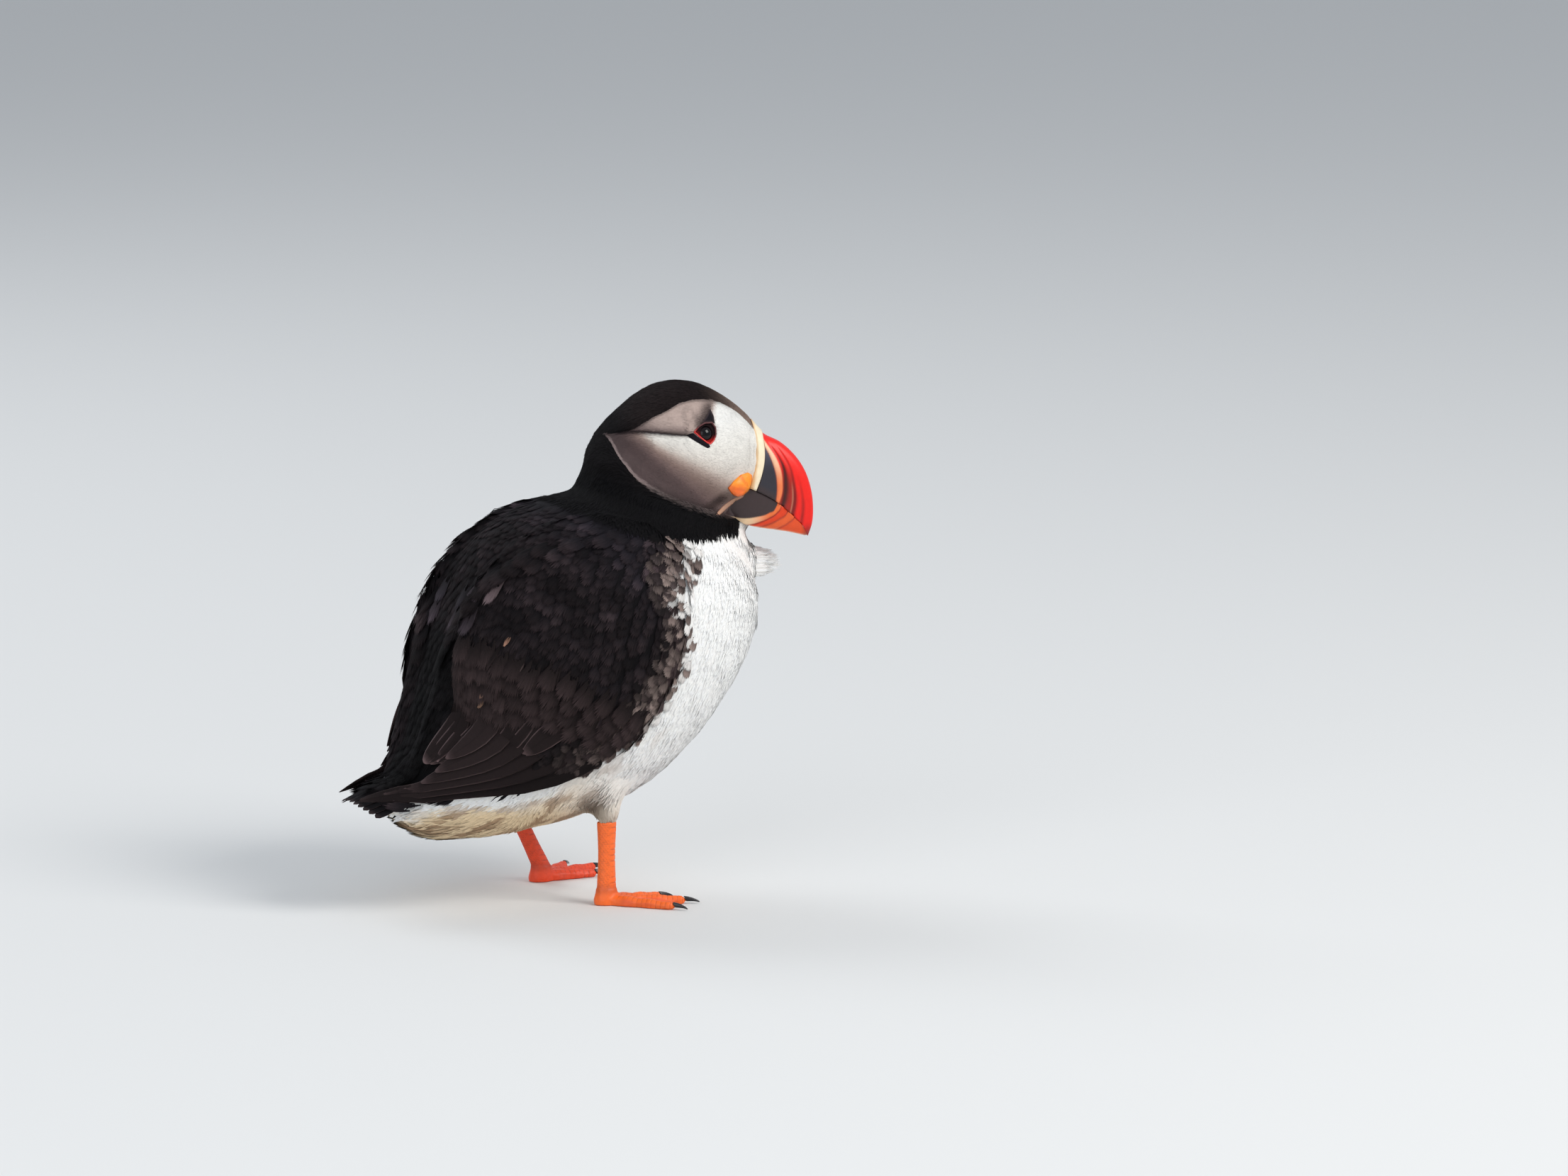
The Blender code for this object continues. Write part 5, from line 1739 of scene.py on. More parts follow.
    def _primaries(self, coat: Coat, chart: Chart, rng: Random) -> None:
        """The primaries, folded under one another towards the tail."""
        count = 6
        s = np.r_[self.flight.stations, 1.0]
        rank = np.linspace(0.0, 1.0, count)
        roots, tips = np.full(count, -26.0), -93.0 + 33.0 * rank**0.9
        along = roots[:, None] + (tips - roots)[:, None] * s
        share = 0.97 - 0.62 * rank[:, None] - 0.05 * s
        angle = Chart.in_wing(along, share)
        proud = along_rows(WING_PROUD, along.ravel()).reshape(along.shape)
        lift = proud - 2.2 + 0.24 * np.arange(count)[:, None]
        places, normals = chart.off_form(along.ravel(), angle.ravel(), lift.ravel())
        places, normals = places.reshape(*along.shape, 3), normals.reshape(*along.shape, 3)
        colours = PLUMAGE.rusty * np.linspace(0.14, 0.36, count)[:, None]
        edges = PLUMAGE.rusty * np.linspace(0.4, 1.9, count)[:, None]
        vane = Vane(lift=0.3, base=-0.2, point=0.45, fringe=0.8)
        vane.lay(coat, Bed(places, normals, np.linspace(5.2, 4.8, count), colours, edges), rng)


@dataclass
class Tail:
    """The short black tail, and the white coverts under it."""

    root: Array = field(default_factory=lambda: np.array([-56.75, 0.0, 56.0]))
    length: float = 34.5
    half_width: float = 20.0
    arch: float = 4.0
    count: int = 12
    vane: Vane = Vane(lift=0.2, base=0.0, fringe=0.5,
                      stations=(0.0, 0.12, 0.26, 0.4, 0.54, 0.67, 0.78, 0.87, 0.93, 0.975))

    def build(self, finish: Material) -> None:
        """Lays the tail's fan, the middle pair on top."""
        rng = np.random.default_rng(61)
        up = np.array([-TAIL_WAY[2], 0.0, TAIL_WAY[0]])
        up = up * np.sign(up[2])
        rank = np.linspace(-1.0, 1.0, self.count)
        s = np.r_[self.vane.stations, 1.0]
        across = rank[:, None] * (0.5 + 0.5 * s) * (self.half_width - 3.2)
        reach = self.length * (1.0 + 0.075 * (1 - rank**2))[:, None] * s
        drop = self.arch * rank[:, None] ** 2 * s
        under = drop + 0.2 + 1.2 * np.abs(rank)[:, None]
        spines = self.root + reach[..., None] * TAIL_WAY - under[..., None] * up
        spines[..., 1] += across
        normals = np.broadcast_to(up, spines.shape).copy()
        normals[..., 1] += 0.45 * rank[:, None] * s
        normals = unit(normals)
        colours = np.tile(PLUMAGE.back * 0.8, (self.count, 1))
        edges = np.tile(PLUMAGE.rusty * 0.8, (self.count, 1))
        coat = Coat("tail_feathers", finish, "flight_feathers", lambda p: p[:, 1::-1])
        self.vane.lay(coat, Bed(spines, normals, np.full(self.count, 4.2), colours, edges), rng)
        coat.build(("tail",))


# ---- bill, eyes, bare skin ------------------------------------------------------------


@dataclass
class Bill:
    """The deep, furrowed bill: a pale band at its base, slate behind and red ahead.

    Curves are (ahead, up) in the skull's frame, from the base to the tip.
    """

    culmen: tuple = (
        (32.4, 15.8), (37.2, 10.7), (43.8, 7.2), (49.2, 2.2), (53, -3.6), (55.3, -10.5), (56.1, -17),
        (55.8, -23.2), (54.2, -28.7),
    )
    gape: tuple = (
        (30.2, -8.6), (34.2, -10.5), (38, -12.4), (42.2, -15), (46, -18.2), (49.2, -21.3), (51.8, -24.2),
        (53.2, -26.6), (53.8, -28.2),
    )
    gonys: tuple = (
        (20.8, -19.6), (25, -21.7), (29, -23.4), (33.6, -24.7), (38.2, -25.5), (42.8, -26.2),
        (46.8, -26.9), (50.2, -27.7), (52.8, -28.4),
    )
    half_widths: tuple = (8.2, 7.6, 6.9, 6.1, 5.2, 4.3, 3.4, 2.4, 0.8)
    lean: tuple = (
        (0, 0), (0.12, 0.11), (0.14, 0.12), (0.37, 0.17), (0.5, 0.29), (0.65, 0.48), (0.8, 0.72), (1, 1),
    )
    bow: tuple = ((0, 2.6), (0.12, 1.9), (0.4, 1.5), (0.7, 1.2), (1, 0))
    cere_end: float = 0.12
    cere_proud: float = 0.7
    across: int = 44
    # (up, ahead) lines across the upper bill
    slate_end: tuple = (
        (-26, 40.4), (-16.5, 41.2), (-11, 41.9), (-7.6, 41.9), (-4.2, 41.5), (-0.2, 40.4), (3.9, 38.7),
        (6.7, 37.1), (9.3, 35.4),
    )
    strip_end: tuple = (
        (-26, 41.4), (-17, 42.2), (-14.6, 43), (-11.1, 44), (-7.7, 44.1), (-4.4, 43.8), (-1, 42.9),
        (2.4, 41.4), (5.8, 39.2), (9.3, 36.8),
    )
    cere_rear: tuple = (
        (-8.6, 31.6), (-7.1, 32), (-3.7, 32.4), (-0.3, 33), (6.5, 33.1), (13.1, 32.4), (18, 31.2),
    )
    # (up, ahead) of each furrow, then its half width and its depth
    furrows: tuple = (
        (
            (-18, 43.6, 0.7, 0.5), (-14.7, 44.6, 0.85, 0.55), (-7.8, 45.3, 0.8, 0.5),
            (-1.1, 44.3, 0.45, 0.4), (3, 42.2, 0.3, 0.25), (8, 38.6, 0.2, 0),
        ),
        (
            (-20, 48, 0.6, 0.4), (-14.7, 48.9, 0.55, 0.4), (-8, 48.4, 0.4, 0.35),
            (-1.2, 46.7, 0.3, 0.22), (4, 43.6, 0.3, 0.12), (8, 40.6, 0.2, 0),
        ),
        (
            (-24, 51.2, 0.5, 0.3), (-17, 52, 0.45, 0.25), (-11, 51.4, 0.35, 0.15), (-5, 50, 0.3, 0),
        ),
    )
    # (ahead, up) lines along the lower bill, which bend up to meet the upper bill's
    slate_foot: tuple = (
        (20, -18.8), (24, -20), (29, -21), (34, -20.6), (39, -19.1), (41.6, -17), (42.6, -14),
        (43.4, -8),
    )
    band_foot: tuple = (
        (20, -21), (29, -23.9), (32.5, -23.5), (35.7, -22.5), (39.1, -21), (41.9, -19.1), (43.4, -17),
        (44.4, -13), (45, -8),
    )
    ridge_feet: tuple = (
        (
            (30, -25.6), (37.5, -24), (42.5, -21.7), (46, -18.8), (47.6, -15), (48.6, -9),
        ),
        (
            (36, -27), (42.6, -25.2), (46.2, -23.2), (49, -20.4), (50.6, -16), (51.5, -10),
        ),
    )
    red: Array = hue(232, 22, 6)
    # painted shade: a darker red for the shaded zone low on the upper bill and for the lower bill's grooves
    shaded_red: Array = hue(140, 30, 14)
    # laid in the furrows as painted shade, and darkening the tips
    furrow: Array = hue(50, 9, 5)
    slate: Array = hue(44, 42, 50)
    slate_top: Array = hue(82, 82, 96)
    peach: Array = hue(236, 190, 152)
    orange: Array = hue(232, 110, 52)
    cream: Array = hue(240, 224, 192)
    tan: Array = hue(216, 160, 94)
    brown: Array = hue(58, 44, 44)
    low_red: Array = hue(222, 60, 14)

    @staticmethod
    def _numbered(values: Sequence) -> list[tuple]:
        """A curve's points with their shares of its count before them."""
        rows = np.array(values, float).reshape(len(values), -1)
        return [(i / (len(rows) - 1), *row) for i, row in enumerate(rows)]

    def section(self, upper: bool, share: float, grow: float, over: float) -> Array:
        """One ring round the upper or lower bill.

        Args:
            upper: Which.
            share: Its place along the gape line.
            grow: How much bigger than the horn.
            over: How far its edge is off the gape line.

        Returns:
            The ring's points in the skull's frame, as (ahead, left, up).
        """
        at = np.array([share])
        lean = along_rows(self.lean, at)[0] if upper else share
        bow = along_rows(self.bow, at)[0] if upper else 0.0
        inner = along_rows(self._numbered(self.gape), at)[0]
        outer = along_rows(self._numbered(self.culmen if upper else self.gonys), np.array([lean]))[0]
        way = unit(outer - inner)
        inner, outer = inner + way * over, outer + way * grow
        s = np.linspace(0, 1, self.across)
        rise = np.sin(s * math.pi / 2)
        flat = inner + (outer - inner) * rise[:, None]
        flat[:, 0] += bow * np.sin(rise * math.pi)
        thick = along_rows(self._numbered(self.half_widths), share + (lean - share) * rise)
        thick = thick * (1.0 if upper else 0.93) + grow
        left = thick * np.maximum(np.cos(s * math.pi / 2), 0.0) ** (0.62 if upper else 0.5)
        ring = np.c_[flat[:, 0], left, flat[:, 1]]
        mirrored = (ring * (1, -1, 1))[-2::-1]
        return np.concatenate([ring, mirrored])

    def relief(self, ahead: Array, up: Array, upper: bool) -> Array:
        """How far the horn is raised by ridges, less than 0 in its furrows."""
        if not upper:
            rim = up - along_rows(self.band_foot, ahead)
            out = 0.22 * step(2.4, 1.2, rim) - 0.35 * bell(rim + 0.3, 0.4)
            for line in self.ridge_feet:
                out = out - 0.32 * bell(up - along_rows(line, ahead), 0.35)
            return out
        out = np.zeros_like(ahead)
        for line in self.furrows:
            place, half, depth = np.moveaxis(along_rows(line, up), -1, 0)
            out = out - depth * bell(ahead - place, half)
            out = out + 0.4 * depth * bell(ahead - place - 2.2 * half, 1.4 * half)
        strip = ahead - (along_rows(self.slate_end, up) + along_rows(self.strip_end, up)) / 2
        out = out + 0.35 * bell(strip, 1.1)
        return out - 0.2 * bell(ahead - along_rows(self.slate_end, up) + 0.1, 0.35)

    def upper_tint(self, ahead: Array, up: Array) -> Array:
        """The upper bill's colour."""
        slate_end, strip_end = along_rows(self.slate_end, up), along_rows(self.strip_end, up)
        low = step(2.0, -9.0, up)
        colour = self.red
        ridge_end = along_rows(self.furrows[1], up)[..., 0]
        # painted shade: the red darker low on the bill, behind the second furrow
        colour = mix(colour, self.shaded_red, 0.85 * low * step(0.5, -0.8, ahead - ridge_end))
        for k, line in enumerate(self.furrows):
            place, half, depth = np.moveaxis(along_rows(line, up), -1, 0)
            # painted shade in each furrow
            dark = bell(ahead - place, 1.35 * half) * np.clip(depth / 0.4, 0, 1)
            colour = mix(colour, self.furrow, (0.95 if k == 0 else 0.75) * dark)
            pale = bell(ahead - place + 1.7 * half, 0.28) * step(-6.0, -12.0, up) * (k == 1)
            colour = mix(colour, self.peach, 0.25 * pale)
        tip = step(-22.0, -28.0, up) * step(50.5, 54.0, ahead)
        colour = mix(colour, self.furrow, 0.7 * tip)
        strip_colour = mix(self.peach, self.orange, step(3.0, -9.0, up) * 0.9)
        strip = step(-0.3, 0.3, ahead - slate_end) * step(0.35, -0.35, ahead - strip_end)
        colour = mix(colour, strip_colour, strip)
        slate = mix(self.slate, self.slate_top, 0.75 * step(-4.0, 8.0, up))
        gape = up - along_rows(self.gape, ahead)
        slate = mix(slate, self.brown, 0.8 * step(4.0, 1.0, gape))
        return mix(colour, slate, step(0.3, -0.3, ahead - slate_end))

    def lower_tint(self, ahead: Array, up: Array) -> Array:
        """The lower bill's colour, in bands from the slate at its root to the tip."""
        rims = [up - along_rows(line, ahead) for line in (self.slate_foot, self.band_foot, *self.ridge_feet)]
        band = mix(self.cream * (1.0, 0.82, 0.7), self.orange, step(30.0, 40.0, ahead))
        colour = mix(band, self.brown, step(-0.25, 0.25, rims[0]))
        colour = mix(colour, self.low_red, step(0.2, -0.2, rims[1]))
        colour = mix(colour, self.orange, 0.55 * step(0.2, -0.3, rims[2]))
        colour = mix(colour, self.low_red, 0.5 * step(0.2, -0.3, rims[3]))
        # painted shade in the grooves along each band's edge
        for rim, share in zip(rims[1:], (0.85, 0.7, 0.55)):
            colour = mix(colour, self.shaded_red, share * bell(rim + 0.25, 0.4))
        floor = up - along_rows(self.gonys, ahead)
        colour = mix(colour, self.peach, 0.5 * step(0.9, 0.2, floor) * step(24.0, 30.0, ahead))
        return mix(colour, self.furrow, 0.5 * step(51.0, 53.6, ahead))

    def cere_tint(self, ahead: Array, up: Array) -> Array:
        """The pale band's colour: cream, tan towards its rear edge."""
        return mix(self.cream, self.tan, 0.85 * step(2.1, 0.6, ahead - along_rows(self.cere_rear, up)))

    def build(self, horn: Material, skin: Ground) -> list[Mesh]:
        """Makes the band, the upper bill and the lower bill."""
        parts = (
            ("bill_band", "cere", True, np.linspace(0.0, self.cere_end, 30), self.cere_proud, "pale_band"),
            ("bill_upper", "upper_bill", True, np.linspace(self.cere_end + 0.01, 1, 170), 0.0, "bill_horn"),
            ("bill_lower", "lower_bill", False, np.linspace(0.0, 1.0, 150), 0.0, "bill_horn"),
        )
        meshes = []
        for name, node, upper, places, grow, slot in parts:
            rings = []
            for share in places:
                ring = self.section(upper, share, grow, 0.15 * (1 - share))
                ahead, up = ring[:, 0], ring[:, 2]
                out = np.clip(np.abs(ring[:, 1]) / 1.2, 0, 1) * np.sign(ring[:, 1])
                if node == "cere":
                    end = min(share, self.cere_end - share) / self.cere_end
                    ring[:, 1] -= out * 0.9 * (1 - math.sqrt(min(1.0, end / 0.3)))
                    pits = np.sin(up * 4.2) * math.exp(-(((share / self.cere_end - 0.17) / 0.07) ** 2))
                    ring[:, 1] -= out * 0.22 * step(0.2, 0.9, pits)
                else:
                    ring[:, 1] += out * self.relief(ahead, up, upper)
                rings.append(ring)
            rings = np.array(rings)
            if not upper:
                self._flare(rings, skin)
            mesh = mesh_of(loft(from_head(rings)), name)
            local = head_frame(points_of(mesh))
            tint = self.cere_tint if node == "cere" else self.upper_tint if upper else self.lower_tint
            tinted(mesh, tint(local[:, 0], local[:, 2]))
            piece(name, mesh, horn, (node,))
            meshes.append(mesh)
        return meshes

    @staticmethod
    def _flare(rings: Array, skin: Ground) -> None:
        """Widens the lower bill's root until it lies over the skin."""
        root = step(33.0, 29.0, rings[..., 0])
        picked = (root > 0) & (np.abs(rings[..., 1]) > 0.5)
        for side in SIDES.values():
            part = picked & (rings[..., 1] * side > 0)
            places, _ = skin.beside(rings[part][:, ::2], side)
            need = head_frame(places)[:, 1] * side + 0.4
            wide = rings[part][:, 1] * side
            more = np.maximum(need / np.maximum(wide, 5.0), 1.0) - 1.0
            rings[part, 1] = side * wide * (1 + more * root[part])


@dataclass
class Patch:
    """A low rounded form laid on the side of the head, inside an outline of (ahead, up) of the skull."""

    outline: tuple
    rise: float  # its middle's height
    edge: float = 0.08
    sink: float = 0.6  # how far its underside lies within
    soft: int = 2
    stations: int = 96
    shares: tuple = (0.0, 0.04, 0.1, 0.18, 0.28, 0.4, 0.55, 0.72, 0.9)

    def line(self) -> Array:
        """The outline as even, softened points."""
        marks = np.array(self.outline + self.outline[:1])
        run = np.r_[0, np.cumsum(np.linalg.norm(np.diff(marks, axis=0), axis=1))]
        at = np.linspace(0, run[-1], self.stations + 1)[:-1]
        flat = np.stack([np.interp(at, run, marks[:, i]) for i in (0, 1)], -1)
        for _ in range(self.soft):
            flat = (np.roll(flat, 1, 0) + flat * 2 + np.roll(flat, -1, 0)) / 4
        return flat

    def mesh(
        self, name: str, side: int, ground: Ground, relief: Callable[[Array], Array] | None = None
    ) -> tuple[Mesh, Array, Array]:
        """The form on one side, and each of its points' (ahead, up) and distance from the outline.

        Args:
            name: The mesh's name.
            side: 1 for left, -1 for right.
            ground: What it lies on.
            relief: Its further height at (ahead, up).

        Returns:
            The mesh, the flat places and the distances.
        """
        line = self.line()
        shares = np.array((0.0, *self.shares))
        flat = line.mean(0) + (line - line.mean(0)) * (1 - shares)[:, None, None]
        height = self.edge + (self.rise - self.edge) * np.sqrt(1 - (1 - shares) ** 2)
        height = np.repeat(height[:, None], len(line), 1)
        if relief is not None:
            height = height + relief(flat) * step(0.0, 0.2, shares)[:, None]
        height[0] = -self.sink
        places, normals = ground.beside(flat, side)
        normals = unit(mix(normals, normals.mean((0, 1)), np.float64(0.5)))
        mesh = mesh_of(loft(places + normals * height[..., None]), name)
        local = head_frame(points_of(mesh))[:, ::2]
        away = np.linalg.norm(local[:, None] - line[None], axis=2).min(1)
        return mesh, local, away


@dataclass
class Eye:
    """An eye, its red ring and the lids between, for one side."""

    radius: float = 3.9
    ring: float = 0.24
    middle: tuple = (14.3, 13.8)
    opening: tuple = (2.3, 2.7)  # half the gap between the lids, ahead and up
    behind: float = 0.25  # how far the lids' edge lies under the ring
    # the red ring's line round the eye, as (ahead, up) in the skull's frame
    outline: tuple = (
        (9.3, 14.4), (11.2, 16.3), (13.6, 17.5), (16.4, 17.4), (17.8, 15.4), (17.9, 12.8), (17, 10.8),
        (15.6, 9.6), (14.2, 10.2), (11.7, 12.2),
    )
    iris: Array = hue(20, 13, 15)
    pupil: Array = hue(5, 5, 7)
    red: Array = hue(208, 34, 26)
    # painted shade on the ring's upper part
    ring_shade: Array = hue(62, 22, 26)
    lid: Array = hue(22, 9, 12)
    rim: Array = hue(150, 22, 18)

    def build(
        self,
        name: str,
        side: int,
        skin: Skin,
        eye: Material,
        flesh: Material,
        dull: Material,
    ) -> None:
        """Makes the eye on one side.

        Args:
            name: The side's name.
            side: 1 for left, -1 for right.
            skin: The bird's skin.
            eye: The eye's material.
            flesh: The ring's material.
            dull: The lids' material.
        """
        line = Patch(self.outline, 0.0, soft=3).line()
        places, normals = skin.beside(line, side)
        axis = unit(normals.mean(0))
        across = unit(HEAD_AXES[0] - axis * (HEAD_AXES[0] @ axis))
        above = np.cross(axis, across) * side * -1
        above = above * np.sign(above[2])
        off = np.array(self.middle) - line.mean(0)
        middle = places.mean(0) + (across * off[0] + above * off[1])
        height = math.sqrt(self.radius**2 - np.mean(self.opening) ** 2)
        centre = middle - axis * (height + self.behind)
        bm = bmesh.new()
        bmesh.ops.create_uvsphere(bm, u_segments=64, v_segments=40, radius=self.radius * MM)
        turn = Vector((0, 0, 1)).rotation_difference(Vector(axis)).to_matrix().to_4x4()
        bmesh.ops.transform(bm, matrix=Matrix.Translation(Vector(centre) * MM) @ turn, verts=bm.verts)
        mesh = mesh_of(bm, f"eye_ball_{name}")
        polar = np.degrees(np.arccos(np.clip(unit(points_of(mesh) - centre) @ axis, -1, 1)))
        colour = mix(self.iris, self.pupil, step(24.0, 20.0, polar))
        tinted(mesh, mix(colour, self.pupil, 0.8 * step(33.0, 38.0, polar)))
        piece(f"eye_ball_{name}", mesh, eye, (f"eye_{name}",))
        self._ring(name, places, normals, flesh)
        self._lids(name, places + normals * 0.12, centre, axis, across, above, dull)

    def _ring(self, name: str, places: Array, normals: Array, flesh: Material) -> None:
        """The red ring."""
        ways = unit(np.roll(places, -1, 0) - np.roll(places, 1, 0))
        across = unit(np.cross(ways, normals))
        turns = np.linspace(0, math.tau, 13)[:-1]
        radius = self.ring * (1 + 0.08 * np.sin(np.arange(len(places)) * 1.7)[:, None])
        rings = places[:, None] + normals[:, None] * 0.30
        rings = rings + across[:, None] * (np.cos(turns) * radius * 1.3)[..., None]
        rings = rings + normals[:, None] * (np.sin(turns) * radius)[..., None]
        mesh = mesh_of(loft(rings, True), f"eye_ring_{name}")
        local = head_frame(points_of(mesh))
        # painted shade: the ring's upper part is darkened
        top = step(12.0, 16.0, local[:, 2] + 0.45 * (local[:, 0] - 12.0))
        tinted(mesh, mix(self.red, self.ring_shade, 0.95 * top))
        piece(f"eye_ring_{name}", mesh, flesh)

    def _lids(
        self,
        name: str,
        outer: Array,
        centre: Array,
        axis: Array,
        across: Array,
        above: Array,
        dull: Material,
    ) -> None:
        """The dark lids, from the ring in to the eye."""
        out = outer - centre
        out = unit(out - np.outer(out @ axis, axis))
        reach = 1 / np.hypot(out @ across / self.opening[0], out @ above / self.opening[1])
        inner = centre + out * reach[:, None] + np.outer(np.sqrt(self.radius**2 - reach**2), axis)
        inner = centre + (inner - centre) * (1 + 0.10 / self.radius)
        shares = np.array([0.0, 0.25, 0.5, 0.75, 0.93, 1.0, 1.0, 0.5, 0.0])
        drops = np.array([0.0, 0.22, 0.3, 0.12, -0.08, 0.1, 0.6, 1.2, 0.9])
        rings = outer[:, None] + (inner - outer)[:, None] * shares[:, None] - axis * drops[:, None]
        mesh = mesh_of(loft(rings, True), f"eye_lids_{name}")
        local, points = head_frame(points_of(mesh)), points_of(mesh) - centre
        away = np.linalg.norm(points - np.outer(points @ axis, axis), axis=1)
        low = step(15.0, 11.5, local[:, 2] + 0.3 * (local[:, 0] - 12.0))
        tinted(mesh, mix(self.lid, self.rim, low * step(2.3, 3.3, away)))
        piece(f"eye_lids_{name}", mesh, dull)


@dataclass
class Plates:
    """The small dark plates over and under each eye."""

    upper: tuple = (
        (16.1, 22.2), (15.1, 20.6), (13.8, 18.9), (12.6, 17.7), (14.2, 17.7), (16.2, 17.6), (17.6, 16.9),
        (17.3, 19.6),
    )
    lower: tuple = (
        (6.4, 13.3), (9, 14.1), (11.7, 11.95), (15.4, 9.3), (15.6, 8.6), (14.5, 8.2), (10.9, 10.4),
        (8.2, 12.1),
    )
    colour: Array = hue(20, 16, 21)
    edge: Array = hue(84, 70, 72)

    def build(self, name: str, side: int, skin: Skin, horn: Material) -> None:
        """Makes one side's plates."""
        for which, outline, rise in (("upper", self.upper, 0.32), ("lower", self.lower, 0.42)):
            mesh, flat, away = Patch(outline, rise).mesh(f"plate_{which}_{name}", side, skin)
            soft = 0.5 * step(0.8, 0.0, away) * step(20.0, 15.0, flat[:, 0]) * (which == "upper")
            tinted(mesh, mix(self.colour, self.edge, soft))
            piece(f"plate_{which}_{name}", mesh, horn, (f"eye_plate_{which}_{name}",))


@dataclass
class Rosette:
    """The pleated orange skin at a corner of the mouth, and the pale strip behind the lower bill."""

    outline: tuple = (
        (22.4, -7.6), (24.6, -5.1), (27.4, -3.1), (30.4, -2.6), (32, -3.8), (32.2, -5.9), (32, -7.8),
        (31, -10.2), (28.8, -12), (26, -11.4), (23.9, -9.9),
    )
    strip: tuple = (
        (29.6, -11.2), (26.8, -11.9), (24.4, -12.7), (21.6, -14.3), (19, -16.6), (17.9, -17.9),
        (19.4, -18.2), (22.4, -16.3), (25.3, -14.5), (29, -12.6),
    )
    mouth: tuple = (31.6, -9.6)
    orange: Array = hue(252, 148, 30)
    deep: Array = hue(236, 96, 24)
    edge: Array = hue(112, 52, 20)
    pale: Array = hue(182, 138, 112)

    def folds(self, flat: Array) -> Array:
        """How far the pleats lift the skin, from -1 to 1."""
        away = flat - np.array(self.mouth)
        turn = np.arctan2(away[..., 1], -away[..., 0])
        return np.cos(turn * 9.0 + 0.6) * step(0.8, 3.5, np.hypot(away[..., 0], away[..., 1]))

    def build(self, name: str, side: int, ground: Ground, flesh: Material) -> None:
        """Makes one side's rosette and strip."""
        mesh, flat, away = Patch(self.outline, 1.5, edge=0.35, stations=160).mesh(
            f"rosette_{name}", side, ground, lambda p: 0.16 * self.folds(p))
        low = step(-5.0, -9.0, flat[:, 1]) * step(32.0, 27.0, flat[:, 0])
        colour = mix(self.orange, self.deep, 0.85 * low)
        # painted shade in the troughs of the pleats
        colour = mix(colour, self.deep * 0.8, 0.45 * step(-0.4, -0.95, self.folds(flat)))
        tinted(mesh, mix(colour, self.edge, 0.75 * step(0.45, 0.1, away) * step(-4.0, -8.0, flat[:, 1])))
        piece(f"rosette_{name}", mesh, flesh, (f"gape_rosette_{name}",))
        strip = Patch(self.strip, 0.35, edge=0.1, stations=120)
        mesh, flat, away = strip.mesh(f"gape_strip_{name}", side, ground)
        colour = mix(self.pale, self.edge, 0.6 * step(0.45, 0.1, away))
        tinted(mesh, colour)
        piece(f"gape_strip_{name}", mesh, flesh)


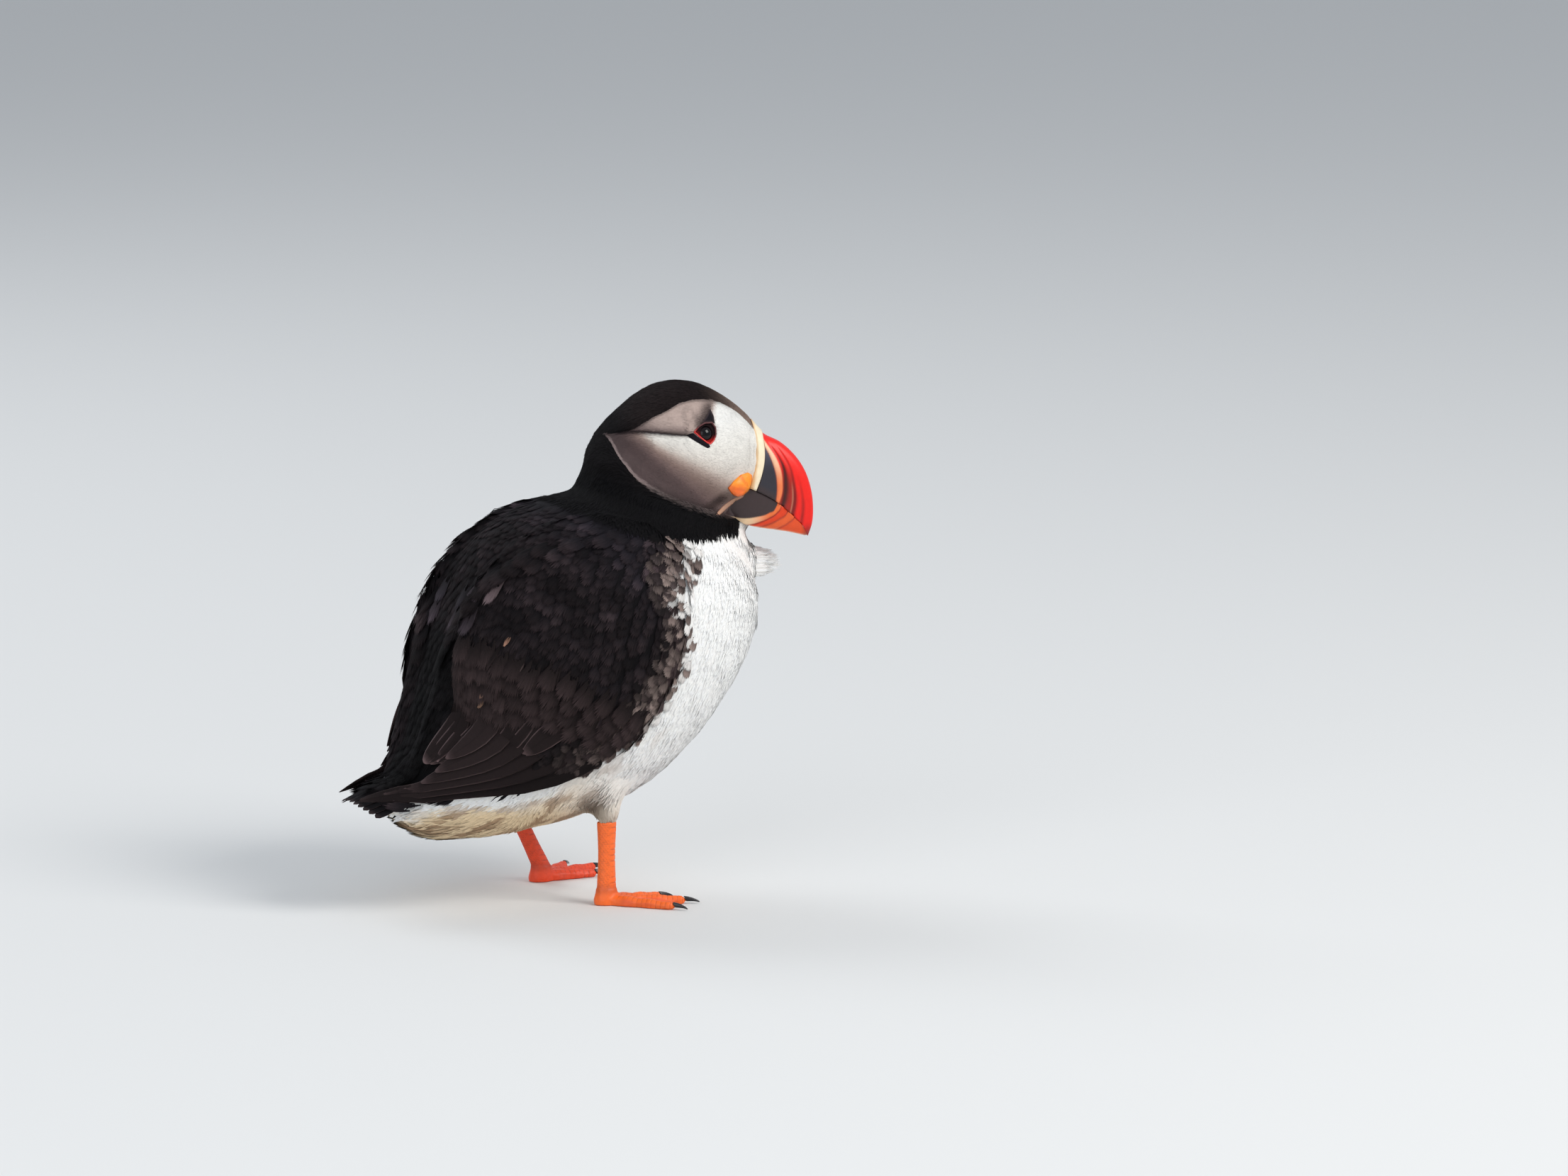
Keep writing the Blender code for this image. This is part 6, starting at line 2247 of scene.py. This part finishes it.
@dataclass
class Leg:
    """A bare leg and its webbed foot as one scaled skin, with its claws."""

    name: str
    ankle: tuple
    knee: tuple
    voxel: float = 0.36
    toe_out: float = math.radians(25)
    toes: tuple = (("inner", 27.0), ("middle", 2.0), ("outer", -23.0))  # and each one's angle, in degrees
    orange: Array = hue(250, 112, 32)
    red: Array = hue(206, 62, 26)
    dusk: Array = hue(124, 48, 30)
    horn: Array = hue(30, 26, 28)

    def build(self, nodes: dict, flesh: Material, claw: Material) -> None:
        """Makes the leg, the foot and the claws."""
        names = (f"leg_{self.name}", f"foot_{self.name}")
        mesh = voxels(copies(nodes, names, 0.3), self.voxel, 4)
        points, normals = points_of(mesh), normals_of(mesh)
        points = points - normals * 0.3
        points[:, 2] = np.maximum(points[:, 2], 0.05)
        relief, groove, web = self._scutes(points)
        move_points(mesh, points + normals * (relief * (normals[:, 2] > -0.6))[:, None])
        colour = mix(self.orange, self.red, 0.15 + 0.35 * web)
        colour = mix(colour, self.dusk, 0.45 * groove)
        colour = mix(colour, self.dusk, 0.35 * step(9.0, 6.0, points[:, 2]) * step(3.0, 6.0, points[:, 2]))
        tinted(mesh, colour)
        piece(f"leg_skin_{self.name}", mesh, flesh, names)
        for toe, _ in self.toes:
            node = f"claw_{self.name}_{toe}"
            mesh = voxels(copies(nodes, (node,), 0.0), 0.16, 5)
            tinted(mesh, np.tile(self.horn, (len(mesh.vertices), 1)))
            piece(f"claw_horn_{self.name}_{toe}", mesh, claw, (node,))

    def _scutes(self, points: Array) -> tuple[Array, Array, Array]:
        """The scales' height, the grooves between them, and where the web is."""
        side = 1 if self.name == "left" else -1
        ankle, knee = np.array([*self.ankle, 6.0]), np.array(self.knee)
        share = (points[:, 2] - ankle[2]) / (knee[2] - ankle[2])
        axis = ankle + share[:, None] * (knee - ankle)
        front = step(-0.2, 0.5, (points[:, 0] - axis[:, 0]) / 2.6)
        on_leg = step(5.5, 8.0, points[:, 2])
        bands = np.abs(np.sin(points[:, 2] * math.pi / 2.1))
        groove = step(0.30, 0.08, bands) * front * on_leg
        cells = np.sin(points[:, 2] * 3.9 + 0.8 * np.sin(points[:, 1] * 2.0)) * np.sin(
            np.arctan2(points[:, 1] - axis[:, 1], points[:, 0] - axis[:, 0]) * 7.0 + points[:, 2] * 1.9)
        groove = np.maximum(groove, 0.6 * step(0.25, 0.05, np.abs(cells)) * (1 - front) * on_leg)
        flat = points[:, :2] - np.array(self.ankle)
        reach = np.hypot(flat[:, 0], flat[:, 1])
        near = np.full(len(points), 1e3)
        for _, angle in self.toes:
            turn = side * (self.toe_out - math.radians(angle))
            way = np.array([math.cos(turn), math.sin(turn)])
            along = flat @ way
            off = np.abs(flat[:, 0] * way[1] - flat[:, 1] * way[0])
            near = np.where(along > 0, np.minimum(near, off), near)
        toe = step(2.4, 1.4, near) * (1 - on_leg) * step(3.0, 6.0, reach)
        knuckles = np.abs(np.sin(reach * math.pi / 1.9))
        groove = np.maximum(groove, 0.9 * step(0.32, 0.08, knuckles) * toe)
        web = (1 - toe) * (1 - on_leg) * step(5.0, 9.0, reach)
        turn = np.arctan2(flat[:, 1], flat[:, 0])
        wrinkle = np.sin(turn * 38.0 + 0.5 * reach) * np.sin(reach * 1.3 + 2.0 * turn)
        groove = np.maximum(groove, 0.35 * web * step(0.35, 0.8, wrinkle))
        return 0.10 - 0.22 * groove, groove, web


# ---- the stage ------------------------------------------------------------------------


@dataclass
class Stage:
    """The floor, the soft light and the camera."""

    turn: float = math.radians(-25)
    tilt: float = math.radians(9)
    middle: tuple = (79.92, 115.17)  # of the view, to the right and up in it
    wide: float = 593.0  # the view's width at the bird
    distance: float = 3000.0
    sensor: float = 36.0

    def build(self) -> None:
        """Sets the stage."""
        self._floor()
        self._lights()
        self._camera()

    def _floor(self) -> None:
        """The plain pale floor."""
        bm = bmesh.new()
        bmesh.ops.create_grid(bm, x_segments=1, y_segments=1, size=14.0)
        mesh = bpy.data.meshes.new("floor")
        bm.to_mesh(mesh)
        bm.free()
        mesh.materials.append(FloorFinish().material())
        floor = bpy.data.objects.new("floor", mesh)
        bpy.context.scene.collection.objects.link(floor)

    def _light(self, name: str, place: Sequence[float], size: float, power: float, colour: Colour) -> None:
        """One square soft light that faces the bird.

        Args:
            name: Its name.
            place: Where it stands, in metres.
            size: Its side, in metres.
            power: Its power, in watts.
            colour: Its colour.
        """
        data = bpy.data.lights.new(name, "AREA")
        data.shape, data.size, data.energy, data.color = "SQUARE", size, power, colour
        light = bpy.data.objects.new(name, data)
        light.location = Vector(place)
        aim = Vector((0.0, 0.0, 0.1)) - light.location
        light.rotation_euler = aim.to_track_quat("-Z", "Y").to_euler()
        bpy.context.scene.collection.objects.link(light)

    def _lights(self) -> None:
        """The key, the fill and the sky."""
        self._light("key", (1.1, -1.5, 1.7), 1.1, 37.0, (1.0, 0.98, 0.95))
        self._light("fill", (-1.5, -1.3, 1.0), 1.6, 13.0, (0.93, 0.96, 1.0))
        self._light("rim", (-0.6, 1.6, 1.6), 1.2, 14.0, (0.96, 0.98, 1.0))
        world = bpy.data.worlds.new("sky")
        world.use_nodes = True
        world.node_tree.nodes["Background"].inputs["Color"].default_value = (0.86, 0.92, 1.0, 1.0)
        world.node_tree.nodes["Background"].inputs["Strength"].default_value = 0.55
        bpy.context.scene.world = world
        bpy.context.scene.view_settings.view_transform = "Standard"

    def _camera(self) -> None:
        """The camera, looking a little down."""
        right = Vector((math.cos(self.turn), math.sin(self.turn), 0.0))
        level = Vector((-math.sin(self.turn), math.cos(self.turn), 0.0))
        ahead = level * math.cos(self.tilt) - Vector((0.0, 0.0, math.sin(self.tilt)))
        above = right.cross(ahead)
        data = bpy.data.cameras.new("camera")
        data.sensor_width = self.sensor
        data.lens = self.sensor * self.distance / self.wide
        data.clip_end = 100.0
        camera = bpy.data.objects.new("camera", data)
        place = (right * self.middle[0] + above * self.middle[1] - ahead * self.distance) * MM
        turn = Matrix((right, above, -ahead)).transposed().to_4x4()
        camera.matrix_world = Matrix.Translation(place) @ turn
        bpy.context.scene.collection.objects.link(camera)
        bpy.context.scene.camera = camera


def main() -> None:
    """Dresses the bird, piece by piece."""
    logging.basicConfig(level=logging.INFO, format="%(message)s")
    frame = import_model()
    nodes = frame["nodes"]
    finishes = (FEATHERS, FLESH, HORN, CLAW, PLATE, LEG_SKIN)
    feathers, flesh, horn, claw, plate, leg = (finish.material() for finish in finishes)
    skin = Skin()
    skin.build(nodes, feathers)
    cover = Cover(nodes)
    HeadCoat().build(skin, cover, feathers)
    BodyCoat().build(skin, cover, feathers)
    UpperCoat().build(skin, feathers)
    Tail().build(feathers)
    face = Ground()
    face.read(skin.obj.data, *Bill().build(horn, skin))
    for name, side in SIDES.items():
        Eye().build(name, side, skin, replace(WET, name=f"eye_{name}").material(), flesh, plate)
        Plates().build(name, side, skin, plate)
        Rosette().build(name, side, face, flesh)
    Leg("right", (2.55, -26.0), (3.25, -25.0, 38.5)).build(nodes, leg, claw)
    # painted shade: the far leg's orange is redder and darker, for the shade it stands in
    Leg("left", (-1.75, 26.0), (-17.75, 25.5, 38.5), orange=tone(240, 74, 28)).build(nodes, leg, claw)
    Stage().build()


if __name__ == "__main__":
    main()
